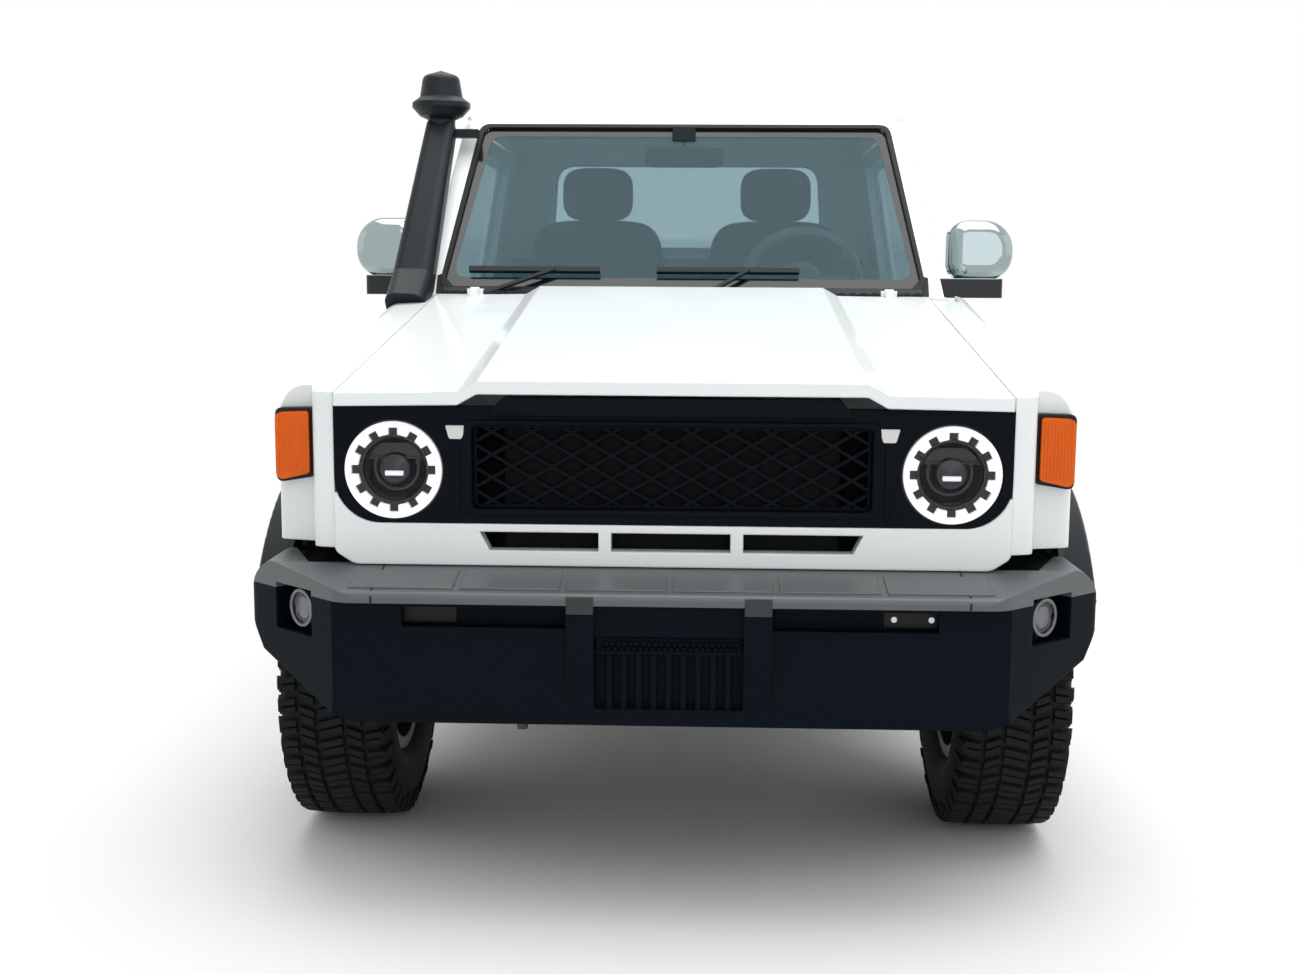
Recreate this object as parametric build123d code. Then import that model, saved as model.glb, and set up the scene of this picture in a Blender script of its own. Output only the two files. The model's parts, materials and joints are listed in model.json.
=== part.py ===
from build123d import *
import math
import os

# Pickup truck with a single cab, an air snorkel and a steel load bed.
# Units are millimetres. X runs to the vehicle's left, Y to the rear, Z up.
# All stations below are measured along Y from the front axle and up from the ground;
# on export the model moves so that its origin is the middle of its footprint.

# Main layout
WHEELBASE = 3180.0
FRONT_OVERHANG = 800.0
REAR_OVERHANG = 1250.0
FRONT_TRACK = 1560.0
REAR_TRACK = 1460.0
FIT = 0.3
RUN = 0.3

# Wheels and tyres
TYRE_D = 777.0
TYRE_W = 262.0
TYRE_TREAD_W = 214.0
TYRE_SHOULDER_R = 42.0
LUG_COUNT = 30
LUG_GAP = 22.0
LUG_L = 60.0
LUG_INSET = 22.0
LUG_DEPTH = 18.0
BEAD_D = 428.0
RIM_W = 206.0
RIM_WALL = 14.0
RIM_FACE_T = 26.0
RIM_FACE_OFFSET = 42.0
RIM_HOLE_D = 44.0
RIM_HOLE_COUNT = 8
RIM_HOLE_CIRCLE_D = 290.0
HUB_D = 132.0
HUB_LENGTH = 96.0
SPINDLE_D = 62.0
DISC_D = 312.0
DISC_T = 22.0
AXLE_Z = TYRE_D / 2

# Front axle and steering knuckles
KINGPIN_OFFSET = 90.0
KINGPIN_X = FRONT_TRACK / 2 - KINGPIN_OFFSET
KINGPIN_D = 36.0
KNUCKLE_D = 112.0
KNUCKLE_H = 132.0
YOKE_T = 22.0
YOKE_W = 84.0
YOKE_GAP = 5.0
AXLE_TUBE_D = 92.0
DIFF_D = 270.0
DIFF_L = 300.0
DIFF_OFFSET_X = 185.0
REAR_TUBE_D = 104.0

# Ladder frame
RAIL_X = 395.0
RAIL_W = 76.0
RAIL_FRONT = -640.0
CROSS_H = 70.0
CROSS_L = 70.0

# Springs
COIL_D = 108.0
COIL_WIRE = 15.0
COIL_SEAT_D = 122.0
ARM_W = 46.0
ARM_H = 60.0
LEAF_W = 70.0
LEAF_T = 48.0
LEAF_HALF = 640.0
SEAT_H = 30.0

# Cab
FIREWALL_Y = 540.0
CAB_BACK = 1950.0
CAB_WALL = 52.0
FLOOR_T = 40.0
SILL_INNER_X = 700.0
SCREEN_BASE = (566.0, 1292.0)
ROOF_Z = 1888.0
ROOF_T = 34.0
SCREEN_DROP = 96.0
GUTTER_DROP = 108.0
ROOF_LIP = 88.0
WINDOW_DROP = 172.0
REAR_WINDOW_DROP = 138.0
REAR_WINDOW_H = 310.0
SCREEN_TOP = (872.0, ROOF_Z - SCREEN_DROP)
ROOF_SPLIT = ROOF_Z - ROOF_LIP
GLASS_T = 6.0
GLASS_INSET = 10.0
PILLAR_W = 51.0
DOOR_FRONT = 640.0
DOOR_BACK = 1735.0
DOOR_FOOT = 692.0
DOOR_GAP = 8.0
DOOR_TAPER = 9.0
DOOR_SKIN_X = 815.0
MIRROR_X1 = 952.0
MIRROR_W = 184.0

# Front sheet metal
BONNET_FRONT = -690.0
BONNET_T = 26.0
BONNET_GAP = 7.0
BONNET_HALF_W = 690.0
BULGE_HALF_W = 392.0
BULGE_H = 26.0
FENDER_X = 850.0
FENDER_T = 34.0
ARCH_R = 470.0
LINER_R = 458.0
FLARE_X = 932.0
FLARE_R = 528.0

# Nose
GRILLE_Y = -655.0
GRILLE_T = 34.0
GRILLE_HALF_W = 692.0
GRILLE_Z0 = 838.0
GRILLE_CORNER_R = 95.0
LAMP_X = 570.0
LAMP_Z = 947.0
LAMP_D = 208.0
RING_OUTER_D = 200.0
RING_INNER_D = 146.0
RING_T = 12.0
RING_NOTCHES = 12
RING_NOTCH_W = 19.0
RING_NOTCH_DEPTH = 14.0
MESH_HALF_W = 408.0
MESH_Z0 = 868.0
MESH_Z1 = 1040.0
MESH_BAR = 7.0
MESH_PITCH = 82.0
MESH_ANGLE = 30.0
PANEL_Z0 = 752.0
PANEL_T = 40.0
VENT_Z0 = 783.0
VENT_Z1 = 822.0

# Front bumper
BUMPER_HALF_W = 889.0
BUMPER_BOTTOM = 451.0
BUMPER_REAR = -480.0
BUMPER_BACK = -645.0
BUMPER_CORNER_X = 655.0
FOG_D = 84.0

# Load bed
BED_GAP = 40.0
BED_X = 845.0
BED_WALL = 56.0
BED_FLOOR_Z = 830.0
BED_FLOOR_T = 30.0
BED_TOP_Z = 1270.0
BED_SKIRT_Z = 610.0
BED_END = 4345.0
GATE_T = 55.0
GATE_GAP = 7.0
SILL_L = 90.0
REAR_BUMPER_D = 80.0

# Values worked out from the above
REAR_AXLE = WHEELBASE
NOSE_Y = -FRONT_OVERHANG
TAIL_Y = WHEELBASE + REAR_OVERHANG
ORIGIN_SHIFT = -(NOSE_Y + TAIL_Y) / 2
BED_FRONT = CAB_BACK + BED_GAP
# Beyond every piece on either side, above and at the ends, for cutting tools
WIDE = MIRROR_X1 + 25
HIGH = ROOF_Z + 100

os.makedirs("parts", exist_ok=True)


# Shape helpers
def outline(rows):
    """Closed face from rows of (u, v, corner radius)."""
    corners = [Vector(row[0], row[1]) for row in rows]
    spans = []
    arcs = []
    for i, corner in enumerate(corners):
        before = (corners[i - 1] - corner).normalized()
        after = (corners[(i + 1) % len(corners)] - corner).normalized()
        radius = rows[i][2]
        if radius == 0:
            spans.append((corner, corner))
            continue
        half = math.radians(before.get_angle(after)) / 2
        start = corner + before * (radius / math.tan(half))
        end = corner + after * (radius / math.tan(half))
        inward = (before + after).normalized()
        middle = corner + inward * (radius / math.sin(half) - radius)
        arcs.append(ThreePointArc(start, middle, end))
        spans.append((start, end))
    lines = []
    for i, span in enumerate(spans):
        start = spans[i - 1][1]
        if (span[0] - start).length > 1e-6:
            lines.append(Line(start, span[0]))
    return make_face(lines + arcs)


def plain(points):
    """Rows for outline() with sharp corners."""
    return [(point[0], point[1], 0) for point in points]


def prism_x(rows, x0, x1):
    """Outline drawn in Y and Z, from x0 to x1."""
    face = Pos(x0, 0, 0) * (Plane.YZ * outline(rows))
    return extrude(face, x1 - x0, dir=(1, 0, 0))


def prism_y(rows, y0, y1):
    """Outline drawn in X and Z, from y0 to y1."""
    face = Pos(0, y0, 0) * (Plane.XZ * outline(rows))
    return extrude(face, y1 - y0, dir=(0, 1, 0))


def prism_z(rows, z0, z1):
    """Outline drawn in X and Y, from z0 to z1."""
    face = Pos(0, 0, z0) * outline(rows)
    return extrude(face, z1 - z0, dir=(0, 0, 1))


def block(x0, x1, y0, y1, z0, z1):
    """Box between two corners."""
    centre = Pos((x0 + x1) / 2, (y0 + y1) / 2, (z0 + z1) / 2)
    return centre * Box(x1 - x0, y1 - y0, z1 - z0)


def rod_x(x0, x1, y, z, d):
    """Round bar along X."""
    return Pos((x0 + x1) / 2, y, z) * Rot(0, 90, 0) * Cylinder(d / 2, abs(x1 - x0))


def rod_y(x, y0, y1, z, d):
    """Round bar along Y."""
    return Pos(x, (y0 + y1) / 2, z) * Rot(90, 0, 0) * Cylinder(d / 2, abs(y1 - y0))


def rod_z(x, y, z0, z1, d):
    """Round bar along Z."""
    return Pos(x, y, (z0 + z1) / 2) * Cylinder(d / 2, z1 - z0)


def bar(start, end, d):
    """Round bar between two points."""
    start = Vector(*start)
    end = Vector(*end)
    across = Plane(origin=(start + end) * 0.5, z_dir=end - start)
    return across * Cylinder(d / 2, (end - start).length)


def other_side(shape):
    """Mirror image across the vehicle's middle plane."""
    return mirror(shape, about=Plane.YZ)


def both_sides(rows):
    """Half outline of (x, z or y, radius) rows made whole across the middle."""
    return list(rows) + [(-u, v, r) for u, v, r in reversed(rows) if u > 0]


def save(name, *shapes):
    """Write one node, moved to the model's origin."""
    moved = [Pos(0, ORIGIN_SHIFT, 0) * shape for shape in shapes]
    solids = [solid for shape in moved for solid in shape.solids()]
    whole = solids[0] if len(solids) == 1 else Compound(children=solids)
    export_step(whole, os.path.join("parts", name + ".step"))


# Wheels: one tyre and one rim with hub and brake disc at each corner
def tyre_ring():
    bead = BEAD_D / 2 + FIT
    crown = TYRE_D / 2
    bead_x = RIM_W / 2 - RIM_WALL
    wall_x = TYRE_W / 2
    tread_x = TYRE_TREAD_W / 2
    wall_r = bead + 0.45 * (crown - bead)
    half = [
        (0, bead, 0),
        (bead_x, bead, 0),
        (bead_x, bead + RIM_WALL + FIT, 0),
        (wall_x, wall_r, TYRE_SHOULDER_R),
        (tread_x + 8, crown - 6, TYRE_SHOULDER_R / 2),
        (0, crown, 0),
    ]
    ring = revolve(Plane.XZ * outline(both_sides(half)), Axis.X)
    notches = []
    for i in range(LUG_COUNT):
        for side in (-1, 1):
            turn = 360 / LUG_COUNT * (i + 0.25 * side)
            notch_x = side * (tread_x + LUG_L / 2 - LUG_INSET)
            notch = Pos(notch_x, 0, crown) * Box(LUG_L, LUG_GAP, 2 * LUG_DEPTH)
            notches.append(Rot(turn, 0, 0) * notch)
    return ring - notches


def wheel_rim():
    seat = BEAD_D / 2
    lip = RIM_W / 2
    flange = seat + RIM_WALL
    inner = seat - RIM_WALL
    barrel_rows = [
        (lip - RIM_WALL + FIT, seat, 0),
        (lip - RIM_WALL + FIT, flange, 0),
        (lip, flange, 0),
        (lip, inner, 0),
    ]
    barrel = revolve(Plane.XZ * outline(both_sides(barrel_rows)), Axis.X)
    face_rows = [
        (RIM_FACE_OFFSET + RIM_FACE_T, 0, 0),
        (RIM_FACE_OFFSET + RIM_FACE_T, HUB_D / 2, 0),
        (RIM_FACE_OFFSET + RIM_FACE_T - 14, inner - 40, 0),
        (RIM_FACE_OFFSET + RIM_FACE_T, inner + 2, 0),
        (RIM_FACE_OFFSET, inner + 2, 0),
        (RIM_FACE_OFFSET - 14, inner - 40, 0),
        (RIM_FACE_OFFSET, HUB_D / 2, 0),
        (RIM_FACE_OFFSET, 0, 0),
    ]
    face = revolve(Plane.XZ * outline(face_rows), Axis.X)
    hub_inner = RIM_FACE_OFFSET + RIM_FACE_T + 6 - HUB_LENGTH
    hub = rod_x(hub_inner, hub_inner + HUB_LENGTH, 0, 0, HUB_D)
    disc = rod_x(hub_inner, hub_inner + DISC_T, 0, 0, DISC_D)
    shape = barrel + face + hub + disc
    for i in range(RIM_HOLE_COUNT):
        turn = 2 * math.pi * i / RIM_HOLE_COUNT
        y = RIM_HOLE_CIRCLE_D / 2 * math.cos(turn)
        z = RIM_HOLE_CIRCLE_D / 2 * math.sin(turn)
        shape -= rod_x(RIM_FACE_OFFSET - 40, lip, y, z, RIM_HOLE_D)
    return shape - rod_x(hub_inner - 1, SPINDLE_END + FIT, 0, 0, SPINDLE_D + 2 * RUN)


# How far the spindle reaches past the wheel's middle plane
SPINDLE_END = RIM_FACE_OFFSET + RIM_FACE_T - 8
HUB_INNER = RIM_FACE_OFFSET + RIM_FACE_T + 6 - HUB_LENGTH

# Wheel stations: name, half track, axle station
WHEELS = [
    ("front", FRONT_TRACK / 2, 0.0),
    ("rear", REAR_TRACK / 2, REAR_AXLE),
]
tyre = tyre_ring()
rim = wheel_rim()
for axle, half_track, station in WHEELS:
    place = Pos(half_track, station, AXLE_Z)
    save("tyre_" + axle + "_left", place * tyre)
    save("tyre_" + axle + "_right", other_side(place * tyre))
    save("rim_" + axle + "_left", place * rim)
    save("rim_" + axle + "_right", other_side(place * rim))

# Front axle: tube, offset differential and a yoke with its kingpin at each end
KNUCKLE_Z0 = AXLE_Z - KNUCKLE_H / 2
KNUCKLE_Z1 = AXLE_Z + KNUCKLE_H / 2
YOKE_BACK = KINGPIN_X - KNUCKLE_D / 2 - 12


def yoke():
    top = KNUCKLE_Z1 + YOKE_GAP
    bottom = KNUCKLE_Z0 - YOKE_GAP
    half = YOKE_W / 2
    nose = KINGPIN_X + KINGPIN_D / 2 + 10
    shape = block(YOKE_BACK - YOKE_T, YOKE_BACK, -half, half, bottom - YOKE_T, top + YOKE_T)
    shape += block(YOKE_BACK - YOKE_T, nose, -half, half, top, top + YOKE_T)
    shape += block(YOKE_BACK - YOKE_T, nose, -half, half, bottom - YOKE_T, bottom)
    return shape + rod_z(KINGPIN_X, 0, bottom, top, KINGPIN_D)


RAIL_TABLE = [
    # station, underside, top
    (RAIL_FRONT, 540, 650),
    (-300, 590, 700),
    (250, 590, 700),
    (FIREWALL_Y - 20, 500, 640),
    (CAB_BACK, 500, 640),
    (CAB_BACK + 400, 610, 750),
    (TAIL_Y - REAR_BUMPER_D, 610, 750),
]
CAB_RAIL_TOP = RAIL_TABLE[4][2]
BED_RAIL_TOP = RAIL_TABLE[-1][2]
FRONT_RAIL_UNDER = RAIL_TABLE[1][1]
REAR_RAIL_UNDER = RAIL_TABLE[-1][1]
TUBE_TOP = AXLE_Z + AXLE_TUBE_D / 2

front_axle = rod_x(-YOKE_BACK, YOKE_BACK, 0, AXLE_Z, AXLE_TUBE_D)
front_axle += Pos(DIFF_OFFSET_X, 0, AXLE_Z) * Sphere(DIFF_D / 2)
front_axle += rod_y(DIFF_OFFSET_X, 0, DIFF_L * 0.62, AXLE_Z, DIFF_D * 0.42)
front_axle += yoke() + other_side(yoke())
for side in (-1, 1):
    seat = rod_z(side * RAIL_X, 0, AXLE_Z, TUBE_TOP + SEAT_H, COIL_SEAT_D)
    front_axle += seat
save("front_axle", front_axle)


def knuckle():
    spindle_end = FRONT_TRACK / 2 + SPINDLE_END
    shape = rod_z(KINGPIN_X, 0, KNUCKLE_Z0, KNUCKLE_Z1, KNUCKLE_D)
    shape += rod_x(KINGPIN_X, FRONT_TRACK / 2 + HUB_INNER - 4, 0, AXLE_Z, HUB_D)
    shape += rod_x(KINGPIN_X, spindle_end, 0, AXLE_Z, SPINDLE_D)
    return shape - rod_z(KINGPIN_X, 0, KNUCKLE_Z0 - 1, KNUCKLE_Z1 + 1, KINGPIN_D + 2 * RUN)


save("knuckle_left", knuckle())
save("knuckle_right", other_side(knuckle()))

# Rear axle: tube, central differential, spring seats and spindles
REAR_TUBE_TOP = AXLE_Z + REAR_TUBE_D / 2
LEAF_UNDER = REAR_TUBE_TOP + SEAT_H
rear_hub = REAR_TRACK / 2 + HUB_INNER
rear_axle = rod_x(-rear_hub + 40, rear_hub - 40, REAR_AXLE, AXLE_Z, REAR_TUBE_D)
rear_axle += Pos(0, REAR_AXLE, AXLE_Z) * Sphere(DIFF_D / 2 + 12)
rear_axle += rod_y(0, REAR_AXLE - DIFF_L * 0.7, REAR_AXLE, AXLE_Z, DIFF_D * 0.44)
for side in (-1, 1):
    end = side * (REAR_TRACK / 2 + SPINDLE_END)
    rear_axle += rod_x(0, end, REAR_AXLE, AXLE_Z, SPINDLE_D)
    rear_axle += rod_x(side * (rear_hub - 60), side * (rear_hub - 6), REAR_AXLE, AXLE_Z, HUB_D + 60)
    rear_axle += block(
        side * RAIL_X - LEAF_W / 2, side * RAIL_X + LEAF_W / 2,
        REAR_AXLE - 80, REAR_AXLE + 80, AXLE_Z, LEAF_UNDER,
    )
save("rear_axle", rear_axle)

# Ladder frame: two bent rails and their cross members
rail_rows = [(y, under, 0) for y, under, top in RAIL_TABLE]
rail_rows += [(y, top, 0) for y, under, top in reversed(RAIL_TABLE)]
rail = prism_x(rail_rows, RAIL_X - RAIL_W / 2, RAIL_X + RAIL_W / 2)
frame = rail + other_side(rail)
CROSS_TABLE = [
    # station, top of the member
    (RAIL_FRONT + CROSS_L / 2, RAIL_TABLE[0][2]),
    (1500, CAB_RAIL_TOP),
    (2500, BED_RAIL_TOP),
    (REAR_AXLE + 600, BED_RAIL_TOP),
    (TAIL_Y - REAR_BUMPER_D - CROSS_L / 2, BED_RAIL_TOP),
]
for y, top in CROSS_TABLE:
    inner = RAIL_X
    frame += block(-inner, inner, y - CROSS_L / 2, y + CROSS_L / 2, top - CROSS_H, top)
# Tow eye: a plate under the front cross member on the right
EYE_X = 311.0
EYE_T = 18.0
EYE_LOW = 392.0
EYE_HOLE_D = 30.0
eye_rows = [
    # station, height, corner radius
    (RAIL_FRONT, EYE_LOW, 24),
    (RAIL_FRONT, RAIL_TABLE[0][2] - CROSS_H, 0),
    (RAIL_FRONT + CROSS_L, RAIL_TABLE[0][2] - CROSS_H, 0),
    (RAIL_FRONT + CROSS_L, EYE_LOW, 24),
]
eye = prism_x(eye_rows, -EYE_X - EYE_T / 2, -EYE_X + EYE_T / 2)
eye -= rod_x(-EYE_X - EYE_T, -EYE_X + EYE_T, RAIL_FRONT + CROSS_L / 2, EYE_LOW + 32, EYE_HOLE_D)
frame += eye
save("frame_rails", frame)

# Front springs: a coil on each axle seat under the rail, and a radius arm behind it
springs = []
arms = []
for side in (-1, 1):
    x = side * RAIL_X
    z0 = TUBE_TOP + SEAT_H
    coil = rod_z(x, 0, z0, FRONT_RAIL_UNDER, COIL_D)
    springs.append(coil - rod_z(x, 0, z0 - 1, FRONT_RAIL_UNDER + 1, COIL_D - 2 * COIL_WIRE))
    arm_front = COIL_SEAT_D / 2 + FIT
    arm_rows = plain([
        (arm_front, AXLE_Z - ARM_H / 2),
        (900, CAB_RAIL_TOP - 190),
        (960, CAB_RAIL_TOP - 140),
        (900, CAB_RAIL_TOP - 140),
        (arm_front, AXLE_Z + ARM_H / 2),
    ])
    arms.append(prism_x(arm_rows, x - ARM_W / 2, x + ARM_W / 2))
save("front_springs", *springs)
save("radius_arms", *arms)

# Rear leaf springs: a bowed pack under each rail
leaves = []
for side in (-1, 1):
    x0 = side * RAIL_X - LEAF_W / 2
    front = REAR_AXLE - LEAF_HALF
    back = REAR_AXLE + LEAF_HALF
    rise = REAR_RAIL_UNDER - LEAF_UNDER - LEAF_T
    under = ThreePointArc((front, LEAF_UNDER + rise), (REAR_AXLE, LEAF_UNDER), (back, LEAF_UNDER + rise))
    over = ThreePointArc((back, REAR_RAIL_UNDER), (REAR_AXLE, LEAF_UNDER + LEAF_T), (front, REAR_RAIL_UNDER))
    ends = [
        Line((back, LEAF_UNDER + rise), (back, REAR_RAIL_UNDER)),
        Line((front, REAR_RAIL_UNDER), (front, LEAF_UNDER + rise)),
    ]
    pack = Pos(x0, 0, 0) * (Plane.YZ * make_face([under, over] + ends))
    leaves.append(extrude(pack, LEAF_W, dir=(1, 0, 0)))
save("rear_springs", *leaves)

# Engine and gearbox as one plain mass on mounts between the rails
ENGINE_X = 270.0
ENGINE = (-420.0, 420.0, 540.0, 1040.0)
GEARBOX_X = 130.0
GEARBOX_END = 1280.0
GEARBOX_Z0 = 440.0
powertrain = block(-ENGINE_X, ENGINE_X, *ENGINE)
powertrain += block(-GEARBOX_X, GEARBOX_X, 300, GEARBOX_END, GEARBOX_Z0, 620)
powertrain += block(-GEARBOX_X, GEARBOX_X + 110, 960, GEARBOX_END - 40, GEARBOX_Z0 + 10, 590)
mount_x = RAIL_X - RAIL_W / 2
powertrain += block(-mount_x, mount_x, -60, 60, 600, 660)
save("powertrain", powertrain)

# Propeller shafts from the gearbox to each differential
SHAFT_D = 70.0
TRANSFER_Y = 960.0
front_shaft = bar((DIFF_OFFSET_X, DIFF_L * 0.5, AXLE_Z), (DIFF_OFFSET_X, TRANSFER_Y + 20, 520), SHAFT_D)
rear_shaft = bar((0, GEARBOX_END - 20, 530), (0, REAR_AXLE - DIFF_L * 0.6, AXLE_Z), SHAFT_D)
save("propshafts", front_shaft - powertrain - front_axle, rear_shaft - powertrain - rear_axle)

# Exhaust on the right: pipe, silencer and tail pipe, hung from the rail
EXHAUST_X = -230.0
EXHAUST_Z = 480.0
EXHAUST_D = 60.0
SILENCER_D = 190.0
EXHAUST_START = 380.0
SILENCER_START = 1650.0
SILENCER_L = 700.0
TAIL_PIPE_L = 210.0
HANGER_INSET = 50.0
silencer_end = SILENCER_START + SILENCER_L
exhaust = rod_y(EXHAUST_X, EXHAUST_START, silencer_end + TAIL_PIPE_L, EXHAUST_Z, EXHAUST_D)
exhaust += rod_y(EXHAUST_X, SILENCER_START, silencer_end, EXHAUST_Z, SILENCER_D)
HANGER_T = 16.0
for y in (SILENCER_START + HANGER_INSET, silencer_end - HANGER_INSET):
    exhaust += block(
        EXHAUST_X - HANGER_T, EXHAUST_X + HANGER_T,
        y - HANGER_T, y + HANGER_T, EXHAUST_Z, EXHAUST_Z + SILENCER_D / 2 + 10,
    )
    exhaust += block(
        RAIL_X * -1 + RAIL_W / 2, EXHAUST_X, y - HANGER_T, y + HANGER_T,
        EXHAUST_Z + SILENCER_D / 2 - 20, EXHAUST_Z + SILENCER_D / 2 + 10,
    )
save("exhaust", exhaust)

# Fuel tank against the left rail, ahead of the rear wheel
TANK_X1 = 690.0
tank_rows = [
    (RAIL_X + RAIL_W / 2, 430, 0),
    (TANK_X1, 430, 50),
    (TANK_X1, 640, 50),
    (RAIL_X + RAIL_W / 2, 640, 0),
]
save("fuel_tank", prism_y(tank_rows, CAB_BACK + 60, REAR_AXLE - 520))

# Radiator on the front cross member
RADIATOR_X = 345.0
RADIATOR_T = 56.0
radiator_y = RAIL_FRONT + 26.0
save("radiator", block(
    -RADIATOR_X, RADIATOR_X, radiator_y, radiator_y + RADIATOR_T, RAIL_TABLE[0][2], 1035,
))

# Cab: outer and inner forms, each a front section cut by a side profile
CAB_SECTION = [
    # half width, height, corner radius
    (0, 560, 0),
    (770, 560, 0),
    (806, 640, 40),
    (DOOR_SKIN_X, 1000, 200),
    (796, 1228, 30),
    (732, 1288, 20),
    (648, ROOF_Z - GUTTER_DROP, 90),
    (560, ROOF_Z, 120),
    (0, ROOF_Z, 0),
]
CAB_INNER = [
    (0, 300, 0),
    (SILL_INNER_X, 300, 0),
    (SILL_INNER_X, CAB_RAIL_TOP + FLOOR_T + 4, 0),
    (740, CAB_RAIL_TOP + FLOOR_T + 8, 0),
    (740, 1190, 0),
    (688, 1275, 0),
    (606, ROOF_Z - GUTTER_DROP - 10, 60),
    (540, ROOF_Z - ROOF_T, 60),
    (0, ROOF_Z - ROOF_T, 0),
]
CAB_PROFILE = [
    # station, height, corner radius
    (FIREWALL_Y, 300, 0),
    (FIREWALL_Y, SCREEN_BASE[1], 0),
    (SCREEN_BASE[0], SCREEN_BASE[1], 0),
    (SCREEN_TOP[0], SCREEN_TOP[1], 40),
    (SCREEN_TOP[0] + 80, ROOF_Z - 20, 60),
    (SCREEN_TOP[0] + 300, ROOF_Z, 0),
    (CAB_BACK - 90, ROOF_Z, 90),
    (CAB_BACK, ROOF_Z - 110, 60),
    (CAB_BACK, 300, 0),
]


def screen_point(along, inward):
    """Station and height on the windscreen: share of its height, depth behind its face."""
    dy = SCREEN_TOP[0] - SCREEN_BASE[0]
    dz = SCREEN_TOP[1] - SCREEN_BASE[1]
    length = math.hypot(dy, dz)
    y = SCREEN_BASE[0] + along * dy + inward * dz / length
    z = SCREEN_BASE[1] + along * dz - inward * dy / length
    return y, z


lower_inner = screen_point(0.0, CAB_WALL)
upper_inner = screen_point(1.0, CAB_WALL)
CAB_INNER_PROFILE = [
    (FIREWALL_Y + CAB_WALL, 200, 0),
    (FIREWALL_Y + CAB_WALL, lower_inner[1], 0),
    (lower_inner[0], lower_inner[1], 0),
    (upper_inner[0], upper_inner[1], 0),
    (SCREEN_TOP[0] + 140, ROOF_Z - ROOF_T, 0),
    (CAB_BACK - CAB_WALL - 60, ROOF_Z - ROOF_T, 60),
    (CAB_BACK - CAB_WALL, ROOF_Z - ROOF_T - 110, 60),
    (CAB_BACK - CAB_WALL, 200, 0),
]
cab_outer = prism_y(both_sides(CAB_SECTION), 400, CAB_BACK + 100) & prism_x(CAB_PROFILE, -WIDE, WIDE)
cab_inner = prism_y(both_sides(CAB_INNER), 400, CAB_BACK + 100)
cab_inner = cab_inner & prism_x(CAB_INNER_PROFILE, -WIDE, WIDE)
cab_skin = cab_outer - cab_inner
cab_skin -= block(-SILL_INNER_X, SILL_INNER_X, 400, CAB_BACK + 1, 300, CAB_RAIL_TOP)

# Door opening and door, drawn on the plane of the door's skin and tapered inwards
DOOR_LINE = [
    # station, height
    (DOOR_FRONT, DOOR_FOOT),
    (DOOR_FRONT, 1262),
    (DOOR_FRONT + 28, 1300),
    (DOOR_FRONT + 326, ROOF_SPLIT),
    (DOOR_BACK + 20, ROOF_SPLIT),
    (DOOR_BACK + 20, 1262),
    (DOOR_BACK, 1230),
    (DOOR_BACK, DOOR_FOOT),
]


def door_plug(grow):
    """Tapered plug through the left wall on the door's line, larger by grow."""
    inward = Plane(origin=(DOOR_SKIN_X + 40, 0, 0), x_dir=(0, 1, 0), z_dir=(-1, 0, 0))
    line = Polyline(*[(y, -z) for y, z in DOOR_LINE], close=True)
    face = offset(make_face(line), grow, kind=Kind.INTERSECTION)
    return extrude(inward * face, 330, taper=DOOR_TAPER)


# Front fenders: one section with a rounded shoulder, drawn out along the bonnet's slope
BONNET_SLOPE = 0.15
BONNET_SIDE_Z = 1106.0
FENDER_INNER_X = GRILLE_HALF_W + FIT
FENDER_BACK = DOOR_FRONT - 2
SHOULDER_X = 800.0
FENDER_NOSE = -540.0
FENDER_FOOT = 784.0
PILLAR_X = 772.0


def slope_z(z, y):
    """Height at station y of a line that runs parallel to the bonnet's top."""
    return z + BONNET_SLOPE * (y - BONNET_FRONT)


def sloped(rows, y0, y1):
    """Front section drawn out along the bonnet's slope; heights hold at the bonnet's front."""
    face = Pos(0, y0, slope_z(0, y0)) * (Plane.XZ * outline(rows))
    run = y1 - y0
    return extrude(face, run * math.hypot(1, BONNET_SLOPE), dir=(0, 1, BONNET_SLOPE))


FENDER_PLAN = [
    # half width, station, corner radius
    (FENDER_INNER_X, GRILLE_Y + 3, 0),
    (738, GRILLE_Y + 15, 26),
    (754, -574, 0),
    (834, -552, 24),
    (FENDER_X, -430, 0),
    (FENDER_X, 330, 0),
    (DOOR_SKIN_X + 4, FENDER_BACK, 0),
    (PILLAR_X, FENDER_BACK, 0),
    (PILLAR_X, FIREWALL_Y - 4, 0),
    (FENDER_INNER_X, FIREWALL_Y - 4, 0),
]
FENDER_SECTION = [
    # half width, height at the bonnet's front, corner radius
    (600, 200, 0),
    (600, BONNET_SIDE_Z - 2, 0),
    (SHOULDER_X, BONNET_SIDE_Z - 12, 60),
    (FENDER_X, BONNET_SIDE_Z - 96, 70),
    (FENDER_X, 200, 0),
]
FENDER_PROFILE = plain([
    # station, height
    (GRILLE_Y - 60, FENDER_FOOT),
    (GRILLE_Y - 60, 1500),
    (FENDER_BACK, 1500),
    (FENDER_BACK, 604),
    (330, 604),
    (330, FENDER_FOOT),
])


def inset_section(rows, depth):
    """Fender section moved in by the panel's thickness."""
    return [(x - depth if x > 650 else x, z - depth if z > 650 else z, r) for x, z, r in rows]


def fender_panel():
    body = sloped(FENDER_SECTION, NOSE_Y, CAB_BACK) & prism_z(FENDER_PLAN, 0, HIGH)
    body = body & prism_x(FENDER_PROFILE, 0, WIDE)
    hollow = sloped(inset_section(FENDER_SECTION, FENDER_T), NOSE_Y, CAB_BACK)
    hollow = hollow & block(FENDER_INNER_X + 26, WIDE, FENDER_NOSE, FENDER_BACK + 1, 0, HIGH)
    body -= hollow
    body -= rod_x(500, WIDE, 0, AXLE_Z, 2 * ARCH_R)
    return body.solids().sort_by(SortBy.VOLUME)[-1]


fender = fender_panel()

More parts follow.
